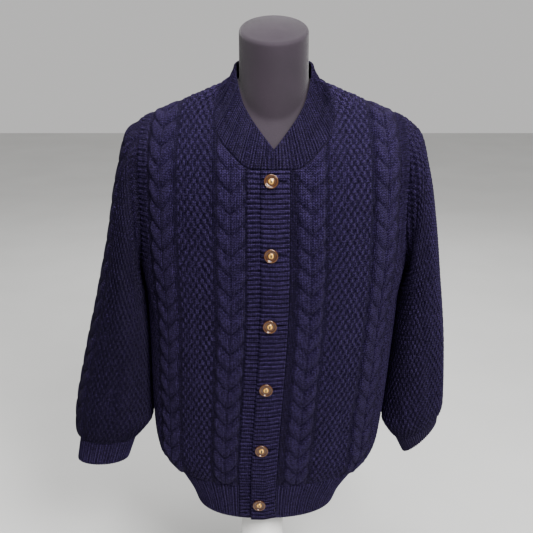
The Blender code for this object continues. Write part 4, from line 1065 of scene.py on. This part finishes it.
def make_sleeve(name, side, paint):
    knots = station_knots(side)
    turns = np.arange(SLEEVE_COLUMNS) * 360.0 / SLEEVE_COLUMNS
    loops = sleeve_stations(side, turns)
    fine = np.linspace(0.0, 1.0, 161)
    order = np.arange(SLEEVE_COLUMNS)
    path = np.array([paired_curve(knots, loops, order, np.full(turns.shape, part)) for part in fine])
    parts = even_parts(path, fine, SLEEVE_ROWS)
    ground = np.array([paired_curve(knots, loops, order, row) for row in parts])
    along = lengths_up(ground)
    normal = outward_normals(ground, True, ground.mean(axis=1, keepdims=True))
    turn = np.broadcast_to(turns, along.shape)
    offset = (turn - SLEEVE_CABLE_TURN[side] + 180.0) % 360.0 - 180.0
    offset = offset * CABLE_WIDTH / 2 / SLEEVE_CABLE_DEGREES
    across = turn / 360.0 * SLEEVE_MOSS * MOSS_ACROSS
    bumps, bump_crest = moss(across, along)
    inside, plait, plait_shade, cover = plait_beside_moss(offset, along, along[-1] - along)
    relief = np.where(inside, plait, 0.0) + cover * bumps
    shade = np.where(inside, plait_shade, DITCH_SHADE)
    shade = (shade * (1 - cover) + cover * bump_crest) * SLEEVE_SHADE[side]
    relief = relief + folds(turn, along, SLEEVE_CREASES[side])
    relief = relief * hem_fade(along, along[-1])
    return shell(name, ground, normal, relief, shade, paint, across, along, True)


# ---------------------------------------------------------------- buttons, form and stand

BUTTON_FINE_SIDES = 56
SLOT_SIDES = 24
SLOT_HALF_LENGTH = 3.0
SLOT_HALF_WIDTH = 1.25
SLOT_FOOT = 4.2             # heights above the button's back
SLOT_TOP = 5.0


def end_caps(index):
    """Triangles from the first and last rings to the two points that follow the grid's."""
    after = np.roll(index, -1, axis=1)
    below = np.full(index.shape[1], index.size)
    return np.concatenate([np.stack([below, after[0], index[0]], axis=-1),
                           np.stack([below + 1, index[-1], after[-1]], axis=-1)])


def turned(name, profile, sides, paint, place=(0.0, 0.0, 0.0), pitch=0.0, heading=0.0):
    """Piece turned about Z from (radius, height) rows that start and end on the axis."""
    angles = np.arange(sides) * 2 * math.pi / sides
    rings = []
    for radius, height in profile[1:-1]:
        ring = np.stack([radius * np.cos(angles), radius * np.sin(angles), np.full(sides, height)], axis=-1)
        rings.append(ring)
    points = np.concatenate(rings + [[(0, 0, profile[0][1]), (0, 0, profile[-1][1])]])
    index = np.arange(len(rings) * sides).reshape(len(rings), sides)
    piece = mesh_piece(name, points, grid_faces(index, True), end_caps(index), points[:, :2], paint)
    piece.location = [value * MM for value in place]
    piece.rotation_euler = (0.0, pitch, heading)
    return piece


FINE_BUTTON = (             # radius and height above the button's back
    (0.0, 0.0), (8.6, 0.0), (9.6, 0.5), (10.6, 1.4), (11.15, 2.4), (11.2, 3.2), (10.95, 4.0),
    (10.4, 4.5), (9.7, 4.55), (9.0, 4.2), (8.5, 3.6), (8.1, 3.15), (7.0, 2.95), (5.6, 2.85),
    (4.8, 2.9), (4.4, 3.3), (4.1, 3.9), (3.4, 4.35), (2.2, 4.6), (1.0, 4.7), (0.0, 4.72),
)


def button_seat(height):
    """Where a button's back sits on the band, with its lean back and its heading."""
    arcs = np.array([BUTTON_X, BUTTON_X])
    heights = np.array([height - 9.0, height + 9.0])
    low, high = torso_point(arcs, heights, "front")
    beside = torso_point(arcs + 6.0, heights, "front")[0]
    out = unit(np.cross(beside - low, high - low))
    seat = (low + high) / 2 + out * (BAND_LIFT + RIB_HEIGHT + SEAM_GAP)
    return seat, math.atan2(math.hypot(out[0], out[1]), out[2]), math.atan2(out[1], out[0])


def make_buttons(paint, slot_paint):
    pieces = {}
    slots = []
    for number, height in enumerate(BUTTON_HEIGHTS, start=1):
        seat, pitch, heading = button_seat(height)
        name = f"resin_button_{number}"
        pieces[f"button_{number}"] = turned(name, FINE_BUTTON, BUTTON_FINE_SIDES, paint, tuple(seat),
                                            pitch, heading)
        slots.append(make_slot(f"button_slot_{number}", seat, pitch, heading, slot_paint))
    return pieces, slots


def make_slot(name, seat, pitch, heading, paint):
    """The short upright slot in the button's dome: a dark sliver with rounded ends, a painted shadow in
    place of the slot's hollow.
    """
    angles = np.arange(SLOT_SIDES) * 2 * math.pi / SLOT_SIDES
    upright = np.stack([-SLOT_HALF_LENGTH * np.cos(angles), SLOT_HALF_WIDTH * np.sin(angles)], axis=-1)
    top = np.concatenate([upright, np.full((SLOT_SIDES, 1), SLOT_TOP)], axis=1)
    foot = np.concatenate([upright * 0.9, np.full((SLOT_SIDES, 1), SLOT_FOOT)], axis=1)
    points = np.concatenate([foot, top, [(0, 0, SLOT_FOOT), (0, 0, SLOT_TOP)]])
    index = np.arange(2 * SLOT_SIDES).reshape(2, SLOT_SIDES)
    piece = mesh_piece(name, points, grid_faces(index, True), end_caps(index), points[:, :2], paint)
    piece.location = [value * MM for value in seat]
    piece.rotation_euler = (0.0, pitch, heading)
    return piece


def lathe_rings(name, rings, low, high, paint):
    """Closed piece through rings of points, with a point at each end."""
    sides = len(rings[0])
    points = np.concatenate([np.array(rings).reshape(-1, 3), [low, high]])
    index = np.arange(len(rings) * sides).reshape(len(rings), sides)
    around = np.arctan2(points[:, 0] - NECK_X, -points[:, 1]) * 90.0
    uv = np.stack([around, points[:, 2]], axis=-1)
    return mesh_piece(name, points, grid_faces(index, True), end_caps(index), uv, paint)


def make_form(paint):
    heights = np.concatenate([np.linspace(FORM_LOW, 800.0, 34), np.linspace(808.0, 1006.0, 52)])
    rings = [form_ring(float(height)) for height in heights]
    radius = float(FORM_NECK[-1, 1])
    rings += [neck_ring(float(height), radius) for height in np.linspace(1010.0, NECK_TOP - 6.0, 16)]
    for part in np.linspace(0.0, 1.0, 7)[1:]:
        turn = part * math.pi / 2
        rings.append(neck_ring(NECK_TOP - 6.0 + 6.0 * math.sin(turn), radius - 6.0 + 6.0 * math.cos(turn)))
    for part in np.linspace(0.0, 1.0, 7)[1:-1]:
        inner = (radius - 6.0) * (1 - part)
        rings.append(neck_ring(NECK_TOP + NECK_DOME * (1 - (1 - part) ** 2), inner))
    low = (float(sway(np.array(FORM_LOW))), 0.0, FORM_LOW)
    return lathe_rings("jersey_form", rings, low, (NECK_X, 0.0, NECK_TOP + NECK_DOME), paint)


def make_stand(paint):
    top = FORM_LOW - SEAM_GAP
    low = BASE_HEIGHT + SEAM_GAP
    collar = POST_RADIUS + 5.0
    post = ((0.0, low), (collar, low), (collar, low + 6.0), (POST_RADIUS + 3.4, low + 8.0),
            (POST_RADIUS, low + 9.0), (POST_RADIUS, top - 2.0), (POST_RADIUS - 1.0, top), (0.0, top))
    edge = [(BASE_RADIUS - 1.2, 0.0), (BASE_RADIUS, 1.2), (BASE_RADIUS, BASE_HEIGHT - BASE_BEVEL)]
    for part in np.linspace(0.0, 1.0, 6)[1:]:
        turn = part * math.pi / 2
        edge.append((BASE_RADIUS - BASE_BEVEL + BASE_BEVEL * math.cos(turn),
                     BASE_HEIGHT - BASE_BEVEL + BASE_BEVEL * math.sin(turn)))
    base = [(0.0, 0.0)] + edge + [(BASE_RADIUS * 0.5, BASE_HEIGHT + 0.01), (0.0, BASE_HEIGHT + 0.02)]
    return {
        "stand_post": turned("painted_post", post, 96, paint),
        "stand_base": turned("painted_base", base, 128, paint),
    }


# ---------------------------------------------------------------- materials

class Nodes:
    """Short calls for building a material's node tree."""

    def __init__(self, name):
        self.material = bpy.data.materials.new(name)
        self.material.use_nodes = True
        self.tree = self.material.node_tree
        self.shader = self.tree.nodes["Principled BSDF"]

    def add(self, kind, **settings):
        node = self.tree.nodes.new(kind)
        for key, value in settings.items():
            setattr(node, key, value)
        return node

    def link(self, source, target):
        self.tree.links.new(source, target)

    def math(self, operation, first, second=None):
        node = self.add("ShaderNodeMath", operation=operation)
        for slot, value in zip(node.inputs, (first, second)):
            if value is None:
                continue
            if isinstance(value, (int, float)):
                slot.default_value = value
            else:
                self.link(value, slot)
        return node.outputs[0]

    def noise(self, scale, detail=3.0, vector=None):
        node = self.add("ShaderNodeTexNoise")
        node.inputs["Scale"].default_value = scale
        node.inputs["Detail"].default_value = detail
        if vector is not None:
            self.link(vector, node.inputs["Vector"])
        return node.outputs["Fac"]

    def ramp(self, value, stops):
        node = self.add("ShaderNodeValToRGB")
        while len(node.color_ramp.elements) < len(stops):
            node.color_ramp.elements.new(0.5)
        for element, (place, colour) in zip(node.color_ramp.elements, stops):
            element.position = place
            element.color = colour
        self.link(value, node.inputs["Fac"])
        return node.outputs["Color"]

    def bump(self, height, strength, distance, below=None):
        node = self.add("ShaderNodeBump")
        node.inputs["Strength"].default_value = strength
        node.inputs["Distance"].default_value = distance
        self.link(height, node.inputs["Height"])
        if below is not None:
            self.link(below, node.inputs["Normal"])
        return node.outputs["Normal"]

    def set(self, **values):
        for key, value in values.items():
            self.shader.inputs[key.replace("_", " ")].default_value = value


STITCH_WIDE = 5.0           # one knit stitch, a V of yarn
STITCH_HIGH = 3.8
UV_UNITS = 100.0            # millimetres in one unit of the knit's UV map


def knit_material(name):
    """Navy wool: V-shaped stitches, ply and fuzz, with painted light on the raised yarn and painted shade
    in its furrows.
    """
    n = Nodes(name)
    uv = n.add("ShaderNodeUVMap", uv_map="knit").outputs["UV"]
    split = n.add("ShaderNodeSeparateXYZ")
    n.link(uv, split.inputs[0])
    wide = n.math("MULTIPLY", split.outputs["X"], UV_UNITS / STITCH_WIDE)
    high = n.math("MULTIPLY", split.outputs["Y"], UV_UNITS / STITCH_HIGH)
    side = n.math("ABSOLUTE", n.math("SUBTRACT", n.math("FRACT", wide), 0.5))
    leg = n.math("SUBTRACT", high, n.math("MULTIPLY", side, 1.5))
    yarn = n.math("ABSOLUTE", n.math("SINE", n.math("MULTIPLY", leg, math.pi)))
    column = n.math("SINE", n.math("MULTIPLY", side, 2 * math.pi))
    stitch = n.math("MULTIPLY", n.math("POWER", yarn, 0.6), n.math("POWER", column, 0.5))
    place = n.add("ShaderNodeNewGeometry").outputs["Position"]
    fuzz = n.noise(900.0, 4.0, place)
    patch = n.noise(14.0, 2.0, place)
    ply = n.noise(330.0, 2.0, place)
    # the crest attribute lightens the raised yarn and darkens the furrows: painted light and painted shade
    crest = n.add("ShaderNodeAttribute", attribute_name="crest").outputs["Fac"]
    tone = n.math("ADD", n.math("MULTIPLY", stitch, 0.30), n.math("MULTIPLY", fuzz, 0.12))
    tone = n.math("ADD", tone, n.math("MULTIPLY", ply, 0.62))
    tone = n.math("ADD", tone, n.math("MULTIPLY", patch, 0.05))
    tone = n.math("ADD", tone, n.math("MULTIPLY", crest, 0.20))
    colour = n.ramp(tone, ((0.48, (0.0004, 0.0002, 0.0012, 1)), (0.68, (0.0058, 0.0032, 0.0150, 1)),
                           (0.90, (0.0360, 0.0240, 0.0800, 1))))
    n.link(colour, n.shader.inputs["Base Color"])
    lines = n.bump(stitch, 1.0, 0.0022)
    n.link(n.bump(n.math("ADD", fuzz, ply), 0.35, 0.0008, lines), n.shader.inputs["Normal"])
    n.set(Roughness=0.86, Sheen_Weight=0.06, Sheen_Roughness=0.45, Sheen_Tint=(0.45, 0.36, 0.75, 1))
    n.shader.inputs["Specular IOR Level"].default_value = 0.03
    return n.material


def button_material():
    """Polished amber resin: a gold rim, a dark streaked well and a bright gilt dome."""
    n = Nodes("amber_resin")
    place = n.add("ShaderNodeTexCoord").outputs["Object"]
    split = n.add("ShaderNodeSeparateXYZ")
    n.link(place, split.inputs[0])
    radius = n.math("SQRT", n.math("ADD", n.math("MULTIPLY", split.outputs["X"], split.outputs["X"]),
                                   n.math("MULTIPLY", split.outputs["Y"], split.outputs["Y"])))
    streaks = n.noise(260.0, 3.0, place)
    wobble = n.math("MULTIPLY", n.math("SUBTRACT", streaks, 0.5), 0.0016)
    ring = n.math("MULTIPLY", n.math("ADD", radius, wobble), 1 / 0.0115)
    colour = n.ramp(ring, ((0.0, (0.80, 0.48, 0.110, 1)), (0.32, (0.55, 0.27, 0.040, 1)),
                           (0.42, (0.022, 0.007, 0.002, 1)), (0.58, (0.070, 0.020, 0.003, 1)),
                           (0.72, (0.026, 0.008, 0.002, 1)), (0.84, (0.085, 0.027, 0.003, 1)),
                           (1.0, (0.036, 0.011, 0.002, 1))))
    n.link(colour, n.shader.inputs["Base Color"])
    n.link(n.math("ADD", n.math("MULTIPLY", streaks, 0.18), 0.12), n.shader.inputs["Roughness"])
    n.link(n.bump(streaks, 0.12, 0.0004), n.shader.inputs["Normal"])
    n.set(Metallic=0.35, Coat_Weight=0.5, Coat_Roughness=0.08)
    return n.material


def slot_material():
    n = Nodes("slot_shadow")
    grain = n.noise(500.0)
    n.link(n.ramp(grain, ((0.3, (0.004, 0.003, 0.002, 1)), (0.7, (0.012, 0.008, 0.006, 1)))),
           n.shader.inputs["Base Color"])
    n.set(Roughness=0.7)
    return n.material


def jersey_material():
    """Dark grey stretch jersey: fine wales, a faint melange and soft wear."""
    n = Nodes("form_jersey")
    uv = n.add("ShaderNodeUVMap", uv_map="knit").outputs["UV"]
    split = n.add("ShaderNodeSeparateXYZ")
    n.link(uv, split.inputs[0])
    wales = n.math("SINE", n.math("MULTIPLY", split.outputs["X"], UV_UNITS * 2 * math.pi / 1.1))
    courses = n.math("SINE", n.math("MULTIPLY", split.outputs["Y"], UV_UNITS * 2 * math.pi / 0.9))
    weave = n.math("MULTIPLY", wales, courses)
    place = n.add("ShaderNodeNewGeometry").outputs["Position"]
    soft = n.noise(11.0, 3.0, place)
    grain = n.noise(700.0, 3.0, place)
    tone = n.math("ADD", n.math("MULTIPLY", soft, 0.6), n.math("MULTIPLY", grain, 0.4))
    colour = n.ramp(tone, ((0.3, (0.0085, 0.0042, 0.0090, 1)), (0.7, (0.0190, 0.0105, 0.0195, 1))))
    n.link(colour, n.shader.inputs["Base Color"])
    creases = n.bump(n.noise(17.0, 2.0, place), 0.25, 0.004)
    n.link(n.bump(weave, 0.25, 0.0003, creases), n.shader.inputs["Normal"])
    n.set(Roughness=0.78, Sheen_Weight=0.12, Sheen_Roughness=0.5)
    n.shader.inputs["Specular IOR Level"].default_value = 0.3
    return n.material


def painted_material():
    """White powder coat with a fine orange peel and a little dust."""
    n = Nodes("white_powder_coat")
    place = n.add("ShaderNodeNewGeometry").outputs["Position"]
    dust = n.noise(9.0, 4.0, place)
    peel = n.noise(520.0, 2.0, place)
    n.link(n.ramp(dust, ((0.3, (0.70, 0.69, 0.67, 1)), (0.7, (0.80, 0.80, 0.785, 1)))),
           n.shader.inputs["Base Color"])
    n.link(n.math("ADD", n.math("MULTIPLY", dust, 0.2), 0.35), n.shader.inputs["Roughness"])
    n.link(n.bump(peel, 0.2, 0.0003), n.shader.inputs["Normal"])
    return n.material


def floor_material():
    n = Nodes("pale_floor")
    place = n.add("ShaderNodeNewGeometry").outputs["Position"]
    n.link(n.ramp(n.noise(3.0, 2.0, place), ((0.3, (0.50, 0.50, 0.49, 1)), (0.7, (0.53, 0.53, 0.52, 1)))),
           n.shader.inputs["Base Color"])
    n.set(Roughness=0.9)
    return n.material


# ---------------------------------------------------------------- camera, light and floor

FOCAL_PIXELS = 900.0
PHOTO_PIXELS = 533.0
SENSOR = 36.0
CAMERA_PITCH = math.radians(17.0)
CAMERA_DISTANCE = 1.4
CAMERA_AIM = (0.0083, -0.125, 0.715)


def make_camera():
    data = bpy.data.cameras.new("camera")
    data.sensor_width = SENSOR
    data.lens = SENSOR * FOCAL_PIXELS / PHOTO_PIXELS
    data.clip_start = 0.05
    data.clip_end = 30.0
    camera = bpy.data.objects.new("camera", data)
    x, y, z = CAMERA_AIM
    camera.location = (x, y - CAMERA_DISTANCE * math.cos(CAMERA_PITCH),
                       z + CAMERA_DISTANCE * math.sin(CAMERA_PITCH))
    camera.rotation_euler = (math.pi / 2 - CAMERA_PITCH, 0.0, 0.0)
    bpy.context.scene.collection.objects.link(camera)
    bpy.context.scene.camera = camera


WORLD_COLOUR = (0.90, 0.89, 0.88, 1.0)
WORLD_STRENGTH = 0.70
FLOOR_HALF = 6.0            # metres, from its middle to an edge
LIGHTS = (                  # name, place, aim, size in metres and power in watts
    ("key", (1.0, -2.3, 2.5), (0.0, 0.0, 0.7), 1.1, 190.0),
    ("fill", (-2.0, -1.6, 1.3), (0.0, 0.0, 0.6), 2.2, 4.0),
    ("top", (0.2, -0.4, 2.9), (0.0, 0.0, 0.6), 1.3, 90.0),
    ("back", (0.3, 2.4, 2.0), (0.0, 0.0, 0.7), 2.2, 26.0),
)


def make_lights():
    for name, place, aim, size, power in LIGHTS:
        data = bpy.data.lights.new(name, "AREA")
        data.shape = "DISK"
        data.size = size
        data.energy = power
        lamp = bpy.data.objects.new(name, data)
        lamp.location = place
        way = np.subtract(aim, place)
        level = math.hypot(way[0], way[1])
        lamp.rotation_euler = (math.pi / 2 + math.atan2(way[2], level), 0.0,
                               math.atan2(way[1], way[0]) - math.pi / 2)
        bpy.context.scene.collection.objects.link(lamp)
    world = bpy.data.worlds.new("studio")
    world.use_nodes = True
    background = world.node_tree.nodes["Background"]
    background.inputs["Color"].default_value = WORLD_COLOUR
    background.inputs["Strength"].default_value = WORLD_STRENGTH
    bpy.context.scene.world = world


def make_floor():
    mesh = bpy.data.meshes.new("floor")
    half = FLOOR_HALF
    corners = [(-half, -half, 0), (half, -half, 0), (half, half, 0), (-half, half, 0)]
    mesh.from_pydata(corners, [], [(0, 1, 2, 3)])
    mesh.materials.append(floor_material())
    floor = bpy.data.objects.new("floor", mesh)
    bpy.context.scene.collection.objects.link(floor)


# ---------------------------------------------------------------- what each piece is

SHEETS = {                  # node: flat width and length in metres, share of the rectangle, how held
    "back": (0.56, 0.68, 0.93, "draped"),
    "front_left": (0.256, 0.68, 0.88, "draped"),
    "front_right": (0.238, 0.68, 0.88, "draped"),
    "sleeve_left": (0.50, 0.60, 0.80, "gathered"),
    "sleeve_right": (0.50, 0.60, 0.80, "gathered"),
    "cuff_left": (0.27, 0.060, 1.0, "stretched"),
    "cuff_right": (0.25, 0.060, 1.0, "stretched"),
    "hem_rib_back": (0.46, 0.073, 1.0, "stretched"),
    "hem_rib_left": (0.20, 0.073, 1.0, "stretched"),
    "hem_rib_right": (0.18, 0.073, 1.0, "stretched"),
    "buttonhole_band": (0.044, 0.64, 1.0, "draped"),
    "button_band": (0.041, 0.64, 1.0, "draped"),
    "neckband": (0.55, 0.050, 1.0, "stretched"),
}


def declare(pieces):
    """Every piece rides on the one body and stands for its node."""
    for node, piece in pieces.items():
        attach(piece, "root")
        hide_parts(node)
        if node not in SHEETS:
            continue


def main():
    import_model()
    make_camera()
    make_lights()
    make_floor()
    body = knit_material("navy_knit")
    pieces = make_panels(body)
    pieces.update(make_hem(body))
    pieces.update(make_bands(body))
    pieces.update(make_neckband(body))
    pieces["sleeve_left"] = make_sleeve("knit_sleeve_left", 1, body)
    pieces["sleeve_right"] = make_sleeve("knit_sleeve_right", -1, body)
    pieces["cuff_left"] = make_cuff("knit_cuff_left", 1, body)
    pieces["cuff_right"] = make_cuff("knit_cuff_right", -1, body)
    buttons, slots = make_buttons(button_material(), slot_material())
    pieces.update(buttons)
    pieces["dress_form"] = make_form(jersey_material())
    pieces.update(make_stand(painted_material()))
    declare(pieces)
    for slot in slots:
        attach(slot, "root")


main()
